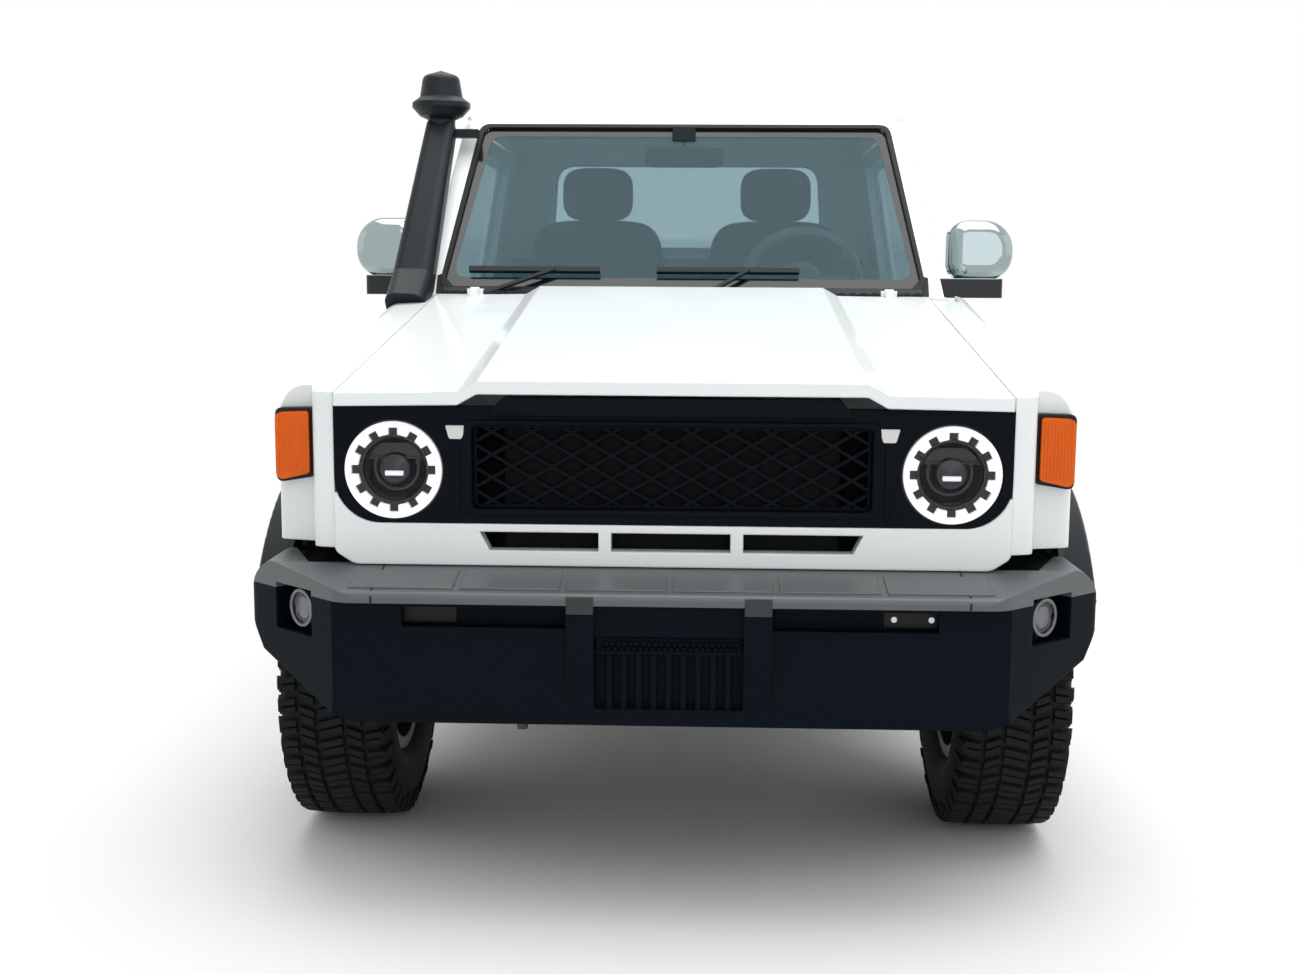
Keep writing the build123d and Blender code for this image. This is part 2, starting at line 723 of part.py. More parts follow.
# Cab shell, roof and doors
WINDOW_LINE = [
    # station, height, corner radius
    (DOOR_FRONT + 108, 1296, 18),
    (DOOR_FRONT + 366, ROOF_Z - WINDOW_DROP, 28),
    (DOOR_BACK - 78, ROOF_Z - WINDOW_DROP, 34),
    (DOOR_BACK - 78, 1296, 18),
]
BELT = CAB_SECTION[5]
RAIL = CAB_SECTION[6]


def side_slab(depth, thick):
    """Slab parallel to the left side glass, at a depth behind the skin."""
    dx = RAIL[0] - BELT[0]
    dz = RAIL[1] - BELT[1]
    length = math.hypot(dx, dz)
    inward = (-dz / length, dx / length)

    def at(share, d):
        return BELT[0] + share * dx + d * inward[0], BELT[1] + share * dz + d * inward[1]

    rows = plain([at(-0.2, depth), at(1.2, depth), at(1.2, depth + thick), at(-0.2, depth + thick)])
    return prism_y(rows, 400, CAB_BACK)


def shrink(rows, amount):
    """Outline rows moved inwards all round, for panes in their frames."""
    return offset(outline(rows), -amount)


door_cut = door_plug(DOOR_GAP)
door = cab_skin & door_plug(0)
window_hole = prism_x(WINDOW_LINE, 400, WIDE)
door -= window_hole
pane = extrude(Pos(400, 0, 0) * (Plane.YZ * shrink(WINDOW_LINE, FIT)), 500, dir=(1, 0, 0))
door_glass = side_slab(GLASS_INSET, GLASS_T) & pane

screen_rise = math.hypot(SCREEN_TOP[0] - SCREEN_BASE[0], SCREEN_TOP[1] - SCREEN_BASE[1])
screen_plane = Plane(
    origin=(0, *SCREEN_BASE), x_dir=(1, 0, 0),
    z_dir=(0, SCREEN_BASE[1] - SCREEN_TOP[1], SCREEN_TOP[0] - SCREEN_BASE[0]),
)
SCREEN_LINE = both_sides([
    # half width, distance up the glass, corner radius
    (BELT[0] - PILLAR_W - 6, 22, 30),
    (RAIL[0] - PILLAR_W - 6, screen_rise - 14, 40),
])
REAR_WINDOW = both_sides([
    # half width, height, corner radius
    (500, ROOF_Z - REAR_WINDOW_DROP - REAR_WINDOW_H, 60),
    (480, ROOF_Z - REAR_WINDOW_DROP, 70),
])
screen_cut = extrude(screen_plane * outline(SCREEN_LINE), 160, both=True)
screen_glass = extrude(screen_plane * shrink(SCREEN_LINE, FIT), 160, both=True)
screen_slab = prism_x(plain([
    screen_point(-0.1, GLASS_INSET),
    screen_point(1.1, GLASS_INSET),
    screen_point(1.1, GLASS_INSET + GLASS_T),
    screen_point(-0.1, GLASS_INSET + GLASS_T),
]), -WIDE, WIDE)
windscreen = screen_glass & screen_slab
back_cut = prism_y(REAR_WINDOW, CAB_BACK - 200, CAB_BACK + 50)
rear_pane_y = CAB_BACK - GLASS_INSET - GLASS_T
rear_pane = Pos(0, rear_pane_y, 0) * (Plane.XZ * shrink(REAR_WINDOW, FIT))
rear_window = extrude(rear_pane, GLASS_T, dir=(0, 1, 0))

# Door hinges: leaf, fingers and pin on the cab's pillar, barrel on the door
HINGE_X = DOOR_SKIN_X + 8
HINGE_Y = DOOR_FRONT + 7
HINGE_H = 70.0
HINGE_FINGER = 10.0
HINGE_PIN_D = 8.0
HINGE_BARREL_D = 16.0
HINGE_HEIGHTS = (800.0, 1110.0)
leaf_y = FENDER_BACK + FIT
hinge_fixed = []
hinge_moving = []
for z in HINGE_HEIGHTS:
    pillar_leaf = block(PILLAR_X, HINGE_X - 10, leaf_y, leaf_y + 4, z, z + HINGE_H)
    pillar_leaf += rod_z(HINGE_X, HINGE_Y, z, z + HINGE_H, HINGE_PIN_D)
    for foot_z in (z, z + HINGE_H - HINGE_FINGER):
        top_z = foot_z + HINGE_FINGER - FIT
        half_pin = HINGE_PIN_D / 2
        pillar_leaf += block(PILLAR_X, HINGE_X + half_pin, leaf_y, leaf_y + 4, foot_z, top_z)
        pillar_leaf += block(
            HINGE_X - half_pin, HINGE_X + half_pin, leaf_y, HINGE_Y + half_pin, foot_z, top_z,
        )
    hinge_fixed.append(pillar_leaf)
    low = z + HINGE_FINGER + FIT
    high = z + HINGE_H - HINGE_FINGER - FIT
    barrel = rod_z(HINGE_X, HINGE_Y, low, high, HINGE_BARREL_D)
    barrel += block(HINGE_X - 20, HINGE_X, HINGE_Y, HINGE_Y + 8, low, high)
    hinge_moving.append(barrel - rod_z(HINGE_X, HINGE_Y, z, z + HINGE_H, HINGE_PIN_D + 2 * RUN))

# Bonnet hinges: a lug and pin on the cowl at each side, and an ear on the bonnet's rear edge
BONNET_HINGE_X = 575.0
BONNET_PIN_D = 8.0
BONNET_EAR_D = 20.0
BONNET_EAR_W = 24.0
bonnet_hinge_y = FIREWALL_Y - BONNET_GAP / 2
bonnet_hinge_z = SCREEN_BASE[1] + 10
lug_in = BONNET_HINGE_X - BONNET_EAR_W / 2 - 10
lug_out = BONNET_HINGE_X + BONNET_EAR_W / 2 + 10
bonnet_lug = rod_x(lug_in, lug_out, bonnet_hinge_y, bonnet_hinge_z, BONNET_PIN_D)
for x in (lug_in, lug_out - 10 + FIT):
    bonnet_lug += block(
        x, x + 10 - FIT, FIREWALL_Y - BONNET_GAP + 1, SCREEN_BASE[0],
        SCREEN_BASE[1] - 8, bonnet_hinge_z + 6,
    )

above = block(-WIDE, WIDE, 0, CAB_BACK + 50, ROOF_SPLIT, ROOF_Z + 200)
roof = cab_skin & above
shell = cab_skin - above - door_cut - other_side(door_cut)
shell = shell - screen_cut - back_cut - fender - other_side(fender)
roof = roof - screen_cut - door_cut - other_side(door_cut)
for piece in hinge_fixed + [bonnet_lug]:
    shell += piece
    shell += other_side(piece)
save("cab_shell", shell)
save("cab_roof", roof)
save("windscreen", windscreen)
save("rear_window", rear_window)
save("door_glass_left", door_glass)
save("door_glass_right", other_side(door_glass))
save("front_fenders", fender, other_side(fender))

# Doors with pull handles; each mirror stands on a foot at the front of its door's window
HANDLE_L = 150.0
HANDLE_H = 34.0
HANDLE_OUT = 30.0
HANDLE_Z = 1165.0
handle_y = DOOR_BACK - 90
handle_rows = [
    (handle_y - HANDLE_L, HANDLE_Z, 14),
    (handle_y - HANDLE_L, HANDLE_Z + HANDLE_H, 14),
    (handle_y, HANDLE_Z + HANDLE_H, 14),
    (handle_y, HANDLE_Z, 14),
]
handle = prism_x(handle_rows, DOOR_SKIN_X - 20, DOOR_SKIN_X + HANDLE_OUT)
grip = block(
    DOOR_SKIN_X - 30, DOOR_SKIN_X + HANDLE_OUT / 2, handle_y - HANDLE_L + 18, handle_y - 18,
    HANDLE_Z - 1, HANDLE_Z + HANDLE_H + 1,
)
door_whole = door + (handle - grip)
for barrel in hinge_moving:
    door_whole += barrel
save("door_left", door_whole)
save("door_right", other_side(door_whole))

MIRROR_X0 = MIRROR_X1 - MIRROR_W
MIRROR_Z0 = 1338.0
MIRROR_Z1 = 1510.0
MIRROR_Y0 = 708.0
MIRROR_Y1 = 800.0
MIRROR_DOME_R = 44.0
FOOT_Z0 = 1288.0
FOOT_X1 = 926.0
mirror_rows = [
    # half width, height, corner radius
    (MIRROR_X0, MIRROR_Z0, 48),
    (MIRROR_X0, MIRROR_Z1, 52),
    (MIRROR_X1, MIRROR_Z1, 84),
    (MIRROR_X1, MIRROR_Z0, 74),
]
mirror_head = prism_y(mirror_rows, MIRROR_Y0, MIRROR_Y1)
mirror_head = fillet(mirror_head.faces().sort_by(Axis.Y)[0].edges(), MIRROR_DOME_R)
foot_plan = [
    # half width, station, corner radius
    (690, MIRROR_Y1, 0),
    (690, MIRROR_Y0 + 20, 0),
    (800, MIRROR_Y0 + 12, 0),
    (FOOT_X1, MIRROR_Y0 + 28, 16),
    (FOOT_X1, MIRROR_Y1 - 14, 16),
    (850, MIRROR_Y1, 0),
]
foot = prism_z(foot_plan, FOOT_Z0, FOOT_Z0 + 56)
mirror_whole = mirror_head + (foot - cab_outer)
save("mirror_left", mirror_whole)
save("mirror_right", other_side(mirror_whole))

# Cab floor on the rails, between sills, firewall and back wall
floor = block(
    -SILL_INNER_X + FIT, SILL_INNER_X - FIT,
    FIREWALL_Y + CAB_WALL + FIT, CAB_BACK - CAB_WALL - FIT,
    CAB_RAIL_TOP, CAB_RAIL_TOP + FLOOR_T,
)
TUNNEL_X = 150.0
TUNNEL_H = 120.0
TUNNEL_END = 1040.0
tunnel_rows = both_sides([
    (TUNNEL_X, CAB_RAIL_TOP + FLOOR_T, 0),
    (TUNNEL_X - 40, CAB_RAIL_TOP + FLOOR_T + TUNNEL_H, 30),
])
floor += prism_y(tunnel_rows, FIREWALL_Y + CAB_WALL + FIT, TUNNEL_END)
FLOOR_TOP = CAB_RAIL_TOP + FLOOR_T
save("cab_floor", floor)

# Dashboard across the cab under the windscreen
DASH_X = SILL_INNER_X - 14
DASH_BACK = 1000.0
dash_front = FIREWALL_Y + CAB_WALL + FIT
dash_rows = [
    # station, height, corner radius
    (dash_front, 1050, 0),
    (dash_front, 1236, 0),
    (700, 1262, 0),
    (DASH_BACK - 40, 1252, 30),
    (DASH_BACK, 1190, 20),
    (DASH_BACK - 60, 1050, 30),
]
dashboard = prism_x(dash_rows, -DASH_X, DASH_X)
save("dashboard", dashboard)

# Steering wheel and column on the left
STEER_X = 372.0
STEER_Y = 1150.0
STEER_Z = 1330.0
STEER_TILT = 28.0
STEER_D = 384.0
STEER_RIM_D = 30.0
steer_turn = Rot(90 + STEER_TILT, 0, 0)
steering = Torus(STEER_D / 2 - STEER_RIM_D / 2, STEER_RIM_D / 2)
steering += Cylinder(62, 40)
for turn in (0, -90, 180):
    steering += Rot(0, 0, turn) * (Pos(STEER_D / 4, 0, 0) * Box(STEER_D / 2 - 20, 34, 14))
column_length = 330.0
steering += Pos(0, 0, column_length / 2) * Cylinder(30, column_length)
steering = Pos(STEER_X, STEER_Y, STEER_Z) * steer_turn * steering
save("steering_wheel", steering - dashboard)

# Seats: cushion on a base, backrest and headrest, one solid each side
SEAT_X = 312.0
SEAT_W = 470.0
SEAT_DEPTH = 510.0
SEAT_BACK = CAB_BACK - 360.0
SEAT_FRONT = SEAT_BACK - SEAT_DEPTH
SEAT_Z = 1000.0
SEAT_LEG = 60.0
HEADREST_TOP = ROOF_Z - 168.0
HEADREST_H = 190.0
BACKREST_TOP = HEADREST_TOP - HEADREST_H
seat_side = [
    # station, height, corner radius
    (SEAT_FRONT + 60, FLOOR_TOP, 0),
    (SEAT_FRONT, SEAT_Z - 150, 20),
    (SEAT_FRONT, SEAT_Z, 40),
    (SEAT_BACK - 60, SEAT_Z - 30, 30),
    (SEAT_BACK + 60, BACKREST_TOP, 40),
    (SEAT_BACK + 190, BACKREST_TOP, 40),
    (SEAT_BACK + 70, SEAT_Z - 110, 40),
    (SEAT_BACK, FLOOR_TOP, 0),
]
HEADREST_W = 250.0
headrest_side = [
    (SEAT_BACK + 80, BACKREST_TOP - 10, 0),
    (SEAT_BACK + 85, HEADREST_TOP, 30),
    (SEAT_BACK + 180, HEADREST_TOP, 30),
    (SEAT_BACK + 185, BACKREST_TOP - 10, 0),
]
seat = prism_x(seat_side, SEAT_X - SEAT_W / 2, SEAT_X + SEAT_W / 2)
seat += prism_x(headrest_side, SEAT_X - HEADREST_W / 2, SEAT_X + HEADREST_W / 2)
seat -= block(
    SEAT_X - SEAT_W / 2 + SEAT_LEG, SEAT_X + SEAT_W / 2 - SEAT_LEG,
    SEAT_FRONT - 10, SEAT_BACK + 10, FLOOR_TOP + 1, FLOOR_TOP + 40,
)
save("seats", seat, other_side(seat))

# Bonnet: a plate with a raised middle, drawn out along its slope
bonnet_side = BONNET_HALF_W - BONNET_GAP
BONNET_TOP = [
    # half width, height at the front edge
    (0, BONNET_SIDE_Z + BULGE_H),
    (BULGE_HALF_W, BONNET_SIDE_Z + BULGE_H),
    (BULGE_HALF_W + 40, BONNET_SIDE_Z + 4),
    (bonnet_side, BONNET_SIDE_Z),
]
bonnet_rows = plain(BONNET_TOP)
bonnet_rows += plain([(x, z - BONNET_T) for x, z in reversed(BONNET_TOP)])
half_bonnet = sloped(bonnet_rows, BONNET_FRONT, FIREWALL_Y - BONNET_GAP)
ear_reach = FIREWALL_Y - BONNET_GAP - 30
bonnet_ear = rod_x(
    BONNET_HINGE_X - BONNET_EAR_W / 2, BONNET_HINGE_X + BONNET_EAR_W / 2,
    bonnet_hinge_y, bonnet_hinge_z, BONNET_EAR_D,
)
bonnet_ear += block(
    BONNET_HINGE_X - BONNET_EAR_W / 2, BONNET_HINGE_X + BONNET_EAR_W / 2,
    ear_reach, bonnet_hinge_y, bonnet_hinge_z - 24, bonnet_hinge_z + BONNET_EAR_D / 2 - 4,
)
bonnet_ear -= block(0, WIDE, FIREWALL_Y - BONNET_GAP, FIREWALL_Y + 40, 1000, SCREEN_BASE[1] - 2)
half_bonnet += bonnet_ear
half_bonnet -= rod_x(lug_in, lug_out, bonnet_hinge_y, bonnet_hinge_z, BONNET_PIN_D + 2 * RUN)
bonnet = half_bonnet + other_side(half_bonnet)
save("bonnet", bonnet)
BONNET_UNDER = BONNET_SIDE_Z - BONNET_T

# Wheel arch liners over the front wheels
liner_ring = rod_x(FENDER_INNER_X - 110, FENDER_X - 10, 0, AXLE_Z, 2 * ARCH_R - 2 * FIT)
liner_ring -= rod_x(400, WIDE, 0, AXLE_Z, 2 * LINER_R)
liner = liner_ring & block(400, WIDE, -LINER_R - 50, LINER_R + 50, AXLE_Z + 120, AXLE_Z + 700)
save("arch_liners", liner, other_side(liner))

# Black flares round the front arches, with a sloped outer edge
flare_rows = [
    # half width, radius from the wheel's axis, corner radius
    (FENDER_X + FIT, ARCH_R, 0),
    (FENDER_X + FIT, FLARE_R, 0),
    (FENDER_X + 14, FLARE_R, 0),
    (FLARE_X, ARCH_R + 26, 14),
    (FLARE_X, ARCH_R, 0),
]
flare_ring = Pos(0, 0, AXLE_Z) * revolve(Plane.XZ * outline(flare_rows), Axis.X)
flare = flare_ring & block(500, WIDE, -FLARE_R - 5, FLARE_R + 5, 640, 1200)
save("front_flares", flare, other_side(flare))

# Grille panel with lamp holes, mesh window and the moulding under the bonnet's middle
GRILLE_BACK = GRILLE_Y + GRILLE_T
GRILLE_TOP = slope_z(BONNET_UNDER, GRILLE_Y) - BONNET_GAP
grille_rows = both_sides([
    # half width, height, corner radius
    (GRILLE_HALF_W, GRILLE_Z0, GRILLE_CORNER_R),
    (GRILLE_HALF_W, GRILLE_TOP, 0),
])
mesh_rows = both_sides([
    (MESH_HALF_W, MESH_Z0, 14),
    (MESH_HALF_W, MESH_Z1, 14),
])
grille = prism_y(grille_rows, GRILLE_Y, GRILLE_BACK)
grille -= prism_y(mesh_rows, GRILLE_Y - 1, GRILLE_BACK + 1)
for side in (-1, 1):
    grille -= rod_y(side * LAMP_X, GRILLE_Y - 1, GRILLE_BACK + 1, LAMP_Z, LAMP_D)
MOULDING_HALF_W = 374.0
MOULDING_OUT = 30.0
moulding_rows = both_sides([
    (MOULDING_HALF_W - 4, GRILLE_TOP - 14, 0),
    (MOULDING_HALF_W - 34, slope_z(BONNET_UNDER + BULGE_H, GRILLE_Y - MOULDING_OUT) - BONNET_GAP, 0),
])
grille += prism_y(moulding_rows, GRILLE_Y - MOULDING_OUT, GRILLE_BACK)
save("grille_panel", grille)

# Diamond mesh in the panel's window
MESH_T = 10.0
mesh_pane = extrude(
    Pos(0, GRILLE_BACK - MESH_T, 0) * (Plane.XZ * shrink(mesh_rows, FIT)), MESH_T, dir=(0, 1, 0),
)
mesh_mid = (MESH_Z0 + MESH_Z1) / 2
mesh_edge = mesh_pane - extrude(
    Pos(0, GRILLE_BACK - MESH_T - 1, 0) * (Plane.XZ * shrink(mesh_rows, MESH_BAR)),
    MESH_T + 2, dir=(0, 1, 0),
)
bars = []
bar_count = int(MESH_HALF_W / MESH_PITCH) + 4
for i in range(-bar_count, bar_count + 1):
    for lean in (-1, 1):
        long_bar = Box(MESH_BAR, MESH_T, 600)
        turn = Rot(0, lean * (90 - MESH_ANGLE), 0)
        bars.append(Pos(i * MESH_PITCH, GRILLE_BACK - MESH_T / 2, mesh_mid) * turn * long_bar)
mesh = mesh_edge + [bar_shape & mesh_pane for bar_shape in bars if (bar_shape & mesh_pane).volume > 1]
save("grille_mesh", mesh)

# Headlamps: a bowl with a projector in each lamp hole, and a toothed light ring before it
LAMP_DEPTH = 80.0
PROJECTOR_D = 84.0
lamp_front = GRILLE_Y + RING_T + FIT
bowl_rows = plain([
    # radius, depth behind the ring
    (0, LAMP_DEPTH),
    (LAMP_D / 2 - FIT, LAMP_DEPTH - 30),
    (LAMP_D / 2 - FIT, 0),
    (RING_INNER_D / 2, 0),
    (PROJECTOR_D / 2 + 6, 26),
    (PROJECTOR_D / 2, 26),
    (PROJECTOR_D / 2 - 12, 6),
    (0, 2),
])
bowl = revolve(outline(bowl_rows), Axis.Y)
ring = extrude(Plane.XZ * (Circle(RING_OUTER_D / 2) - Circle(RING_INNER_D / 2)), RING_T, dir=(0, 1, 0))
for i in range(RING_NOTCHES):
    notch = Pos(RING_INNER_D / 2 + RING_NOTCH_DEPTH / 2 - 2, RING_T / 2, 0)
    notch = notch * Box(RING_NOTCH_DEPTH + 4, RING_T + 2, RING_NOTCH_W)
    ring -= Rot(0, 360 / RING_NOTCHES * i, 0) * notch
lamp_place = Pos(LAMP_X, lamp_front, LAMP_Z)
ring_place = Pos(LAMP_X, GRILLE_Y, LAMP_Z)
save("headlamps", lamp_place * bowl, other_side(lamp_place * bowl))
save("lamp_rings", ring_place * ring, other_side(ring_place * ring))

# Turn lamps on the fenders' front corners
TURN_X0 = 756.0
TURN_X1 = 826.0
TURN_Z0 = 916.0
TURN_Z1 = 1062.0
TURN_OUT = 32.0
turn_rows = [
    # half width, height, corner radius
    (TURN_X0, TURN_Z0 + 16, 8),
    (TURN_X0, TURN_Z1, 8),
    (TURN_X1, TURN_Z1 - 4, 14),
    (TURN_X1, TURN_Z0, 14),
]
turn_body = prism_y(turn_rows, -574 - TURN_OUT, -500)
turn_lamp = turn_body - (sloped(FENDER_SECTION, NOSE_Y, CAB_BACK) & prism_z(FENDER_PLAN, 0, HIGH))
turn_lamp = turn_lamp.solids().sort_by(SortBy.VOLUME)[-1]
save("turn_lamps", turn_lamp, other_side(turn_lamp))

# Front panel below the grille, with three vents
PANEL_CORNER = 40.0
PANEL_EAR_H = 62.0
PANEL_OUT = 6.0
panel_rows = both_sides([
    # half width, height, corner radius
    (GRILLE_HALF_W - PANEL_CORNER, PANEL_Z0, 40),
    (GRILLE_HALF_W, PANEL_Z0 + 0.65 * PANEL_CORNER, 20),
    (GRILLE_HALF_W, GRILLE_Z0 + PANEL_EAR_H, 0),
])
VENTS = [
    # inner end, outer end at the foot, outer end at the top
    (-122, 122, 122),
    (148, 372, 392),
]
panel_front = GRILLE_Y - PANEL_OUT
panel = prism_y(panel_rows, panel_front, panel_front + PANEL_T)
grille_hole = offset(outline(grille_rows), FIT)
panel -= extrude(Pos(0, NOSE_Y, 0) * (Plane.XZ * grille_hole), FRONT_OVERHANG, dir=(0, 1, 0))
for inner, foot_end, top_end in VENTS:
    vent = prism_y(plain([
        (inner, VENT_Z0), (foot_end, VENT_Z0), (top_end, VENT_Z1), (inner, VENT_Z1),
    ]), GRILLE_Y - 40, GRILLE_Y + 60)
    panel -= vent + other_side(vent)
save("front_panel", panel)

# Front bumper: plan, front view and side profile cut from one block
BUMPER_TOP_BACK = 752.0
BUMPER_TOP_FRONT = 722.0
bumper_plan = both_sides([
    # half width, station, corner radius
    (BUMPER_CORNER_X, NOSE_Y, 60),
    (BUMPER_HALF_W, -590, 40),
    (BUMPER_HALF_W, BUMPER_REAR, 0),
    (BUMPER_HALF_W - 70, BUMPER_REAR, 0),
    (GRILLE_HALF_W + 60, BUMPER_BACK, 0),
])
bumper_front = both_sides([
    # half width, height, corner radius
    (640, BUMPER_BOTTOM, 0),
    (BUMPER_HALF_W - 30, 560, 0),
    (BUMPER_HALF_W, 620, 0),
    (BUMPER_HALF_W, BUMPER_TOP_BACK + 6, 86),
])
bumper_side = [
    # station, height, corner radius
    (NOSE_Y, 600, 0),
    (NOSE_Y, BUMPER_TOP_FRONT, 14),
    (BUMPER_BACK, BUMPER_TOP_BACK, 0),
    (BUMPER_REAR + 1, BUMPER_TOP_BACK, 0),
    (BUMPER_REAR + 1, 400, 0),
    (NOSE_Y + 30, 400, 0),
]
bumper = prism_z(bumper_plan, 380, 820) & prism_y(bumper_front, NOSE_Y - 1, BUMPER_REAR + 2)
bumper = bumper & prism_x(bumper_side, -WIDE, WIDE)
RIB_X0 = 148.0
RIB_X1 = 204.0
RIB_OUT = 16.0
SLOT_X1 = 532.0
SLOT_Z0 = 650.0
SLOT_Z1 = 690.0
SLOT_DEPTH = 46.0
INTAKE_Z0 = 486.0
INTAKE_Z1 = 634.0
INTAKE_DEPTH = 40.0
# The bumper's face stands back from its ribs, which are the foremost points
face_cut = block(-WIDE, WIDE, NOSE_Y - 1, NOSE_Y + RIB_OUT, 380, BUMPER_TOP_FRONT - 24)
for side in (-1, 1):
    low, high = sorted((side * RIB_X0, side * RIB_X1))
    face_cut -= block(low, high, NOSE_Y - 2, NOSE_Y + RIB_OUT + 1, 380, BUMPER_TOP_FRONT)
bumper -= face_cut
for side in (-1, 1):
    low, high = sorted((side * RIB_X1, side * SLOT_X1))
    bumper -= block(low, high, NOSE_Y - 2, NOSE_Y + SLOT_DEPTH, SLOT_Z0, SLOT_Z1)
bumper -= block(-RIB_X0, RIB_X0, NOSE_Y - 2, NOSE_Y + INTAKE_DEPTH, INTAKE_Z0, INTAKE_Z1)
SLAT_COUNT = 9
SLAT_W = 12.0
SLAT_TOP = 598.0
slat_pitch = 2 * RIB_X0 / (SLAT_COUNT + 1)
for i in range(SLAT_COUNT):
    x = -RIB_X0 + slat_pitch * (i + 1)
    bumper += block(
        x - SLAT_W / 2, x + SLAT_W / 2, NOSE_Y + RIB_OUT + 8, NOSE_Y + INTAKE_DEPTH,
        INTAKE_Z0, SLAT_TOP,
    )
bumper += block(-RIB_X0, RIB_X0, NOSE_Y + RIB_OUT + 4, NOSE_Y + INTAKE_DEPTH, SLAT_TOP, SLAT_TOP + 8)

# Fog lamp pockets in the bumper's swept corners
FOG_X = 772.0
FOG_Z = 662.0
POCKET_W = 128.0
POCKET_H = 96.0
corner_angle = math.degrees(math.atan2(-590 - NOSE_Y, BUMPER_HALF_W - BUMPER_CORNER_X))
share = (FOG_X - BUMPER_CORNER_X) / (BUMPER_HALF_W - BUMPER_CORNER_X)
fog_y = NOSE_Y + share * (-590 - NOSE_Y)
corner_place = Pos(FOG_X, fog_y, FOG_Z) * Rot(0, 0, corner_angle)
POCKET_DEPTH = 70.0
pocket = corner_place * Box(POCKET_W, 2 * POCKET_DEPTH, POCKET_H)
FOG_DEPTH = 46.0
fog_place = corner_place * Pos(0, POCKET_DEPTH - FOG_DEPTH / 2 - FIT, 0) * Rot(90, 0, 0)
fog = fog_place * Cylinder(FOG_D / 2, FOG_DEPTH)
bumper -= pocket + other_side(pocket)
save("front_bumper", bumper)
save("fog_lamps", fog, other_side(fog))

# Snorkel on the right: foot on the fender, duct beside the pillar, ram head
DUCT = [
    # half width position, station, height, duct width, duct depth
    (756, 470, 1250, 112, 120),
    (750, 556, 1330, 112, 96),
    (706, 792, ROOF_Z - GUTTER_DROP - 10, 84, 74),
]
duct = None
for low, high in zip(DUCT, DUCT[1:]):
    axis = Vector(high[0] - low[0], high[1] - low[1], high[2] - low[2])
    planes = [Plane(origin=row[:3], x_dir=(1, 0, 0), z_dir=axis) for row in (low, high)]
    sections = [
        planes[0] * RectangleRounded(low[3], low[4], low[4] * 0.3),
        planes[1] * RectangleRounded(high[3], high[4], high[4] * 0.3),
    ]
    piece = loft(sections)
    duct = piece if duct is None else duct + piece
HEAD_D = 168.0
HEAD_H = 180.0
HEAD_RISE = 44.0
HEAD_Z1 = ROOF_Z + HEAD_RISE
HEAD_Z0 = HEAD_Z1 - HEAD_H
head_rows = [
    # radius, height, corner radius
    (0, HEAD_Z0, 0),
    (36, HEAD_Z0, 0),
    (40, HEAD_Z0 + 40, 0),
    (62, HEAD_Z0 + 50, 0),
    (HEAD_D / 2, HEAD_Z0 + 74, 6),
    (HEAD_D / 2, HEAD_Z0 + 88, 6),
    (62, HEAD_Z0 + 104, 0),
    (52, HEAD_Z1 - 16, 20),
    (0, HEAD_Z1, 0),
]
head_x = DUCT[-1][0]
head_y = DUCT[-1][1]
head = Pos(head_x, head_y, 0) * revolve(Plane.XZ * outline(head_rows), Axis.Z)
BRACKET_Z = HEAD_Z0 - 10
bracket = block(600, head_x, head_y - 10, head_y + 30, BRACKET_Z, BRACKET_Z + 24)
snorkel = duct + head + bracket
fender_body = sloped(FENDER_SECTION, NOSE_Y, CAB_BACK) & prism_z(FENDER_PLAN, 0, HIGH)
snorkel = snorkel - cab_outer - fender_body
snorkel = snorkel.solids().sort_by(SortBy.VOLUME)[-1]
save("snorkel", other_side(snorkel))

# Wipers parked along the foot of the windscreen: blade, arm and pivot on the cowl
WIPER_W = 16.0
WIPER_T = 14.0
WIPERS = [
    # pivot, blade's near end, blade's far end, all across the vehicle
    (-560, -600, -230),
    (60, -70, 330),
]
wipers = []
for pivot, near, far in WIPERS:
    blade = Pos((near + far) / 2, 76, WIPER_T / 2 + FIT) * Box(far - near, WIPER_W, WIPER_T)
    mid = (near + far) / 2 + 60
    run = Vector(mid - pivot, 76 + 10, 0)
    arm = Pos((mid + pivot) / 2, (76 - 10) / 2, WIPER_T + FIT)
    arm = arm * Rot(0, 0, math.degrees(math.atan2(run.Y, run.X))) * Box(run.length, 10, 9)
    post = Pos(pivot, -10, WIPER_T / 2) * Cylinder(13, WIPER_T + 12)
    wipers.append(screen_plane * (blade + arm + post) - shell - windscreen)
save("wipers", *[wiper.solids().sort_by(SortBy.VOLUME)[-1] for wiper in wipers])

# Load bed: floor, side walls with wheel arches, front wall, cross sills and wheel boxes
BED_INNER = BED_X - BED_WALL
FLOOR_UNDER = BED_FLOOR_Z - BED_FLOOR_T
bed_side_rows = [
    # station, height, corner radius
    (BED_FRONT, BED_SKIRT_Z, 30),
    (BED_FRONT, BED_TOP_Z, 20),
    (BED_END, BED_TOP_Z, 20),
    (BED_END, BED_SKIRT_Z, 60),
]
bed_wall = prism_x(bed_side_rows, BED_INNER, BED_X)
bed_wall -= rod_x(BED_INNER - 1, WIDE, REAR_AXLE, AXLE_Z, 2 * ARCH_R)
RAIL_CAP_W = 74.0
RAIL_CAP_H = 34.0
bed_head_back = BED_FRONT + BED_WALL
bed_floor_end = BED_END - GATE_T - GATE_GAP
bed_wall += block(
    BED_X - RAIL_CAP_W, BED_X, bed_head_back + FIT, bed_floor_end, BED_TOP_Z - RAIL_CAP_H, BED_TOP_Z,
)
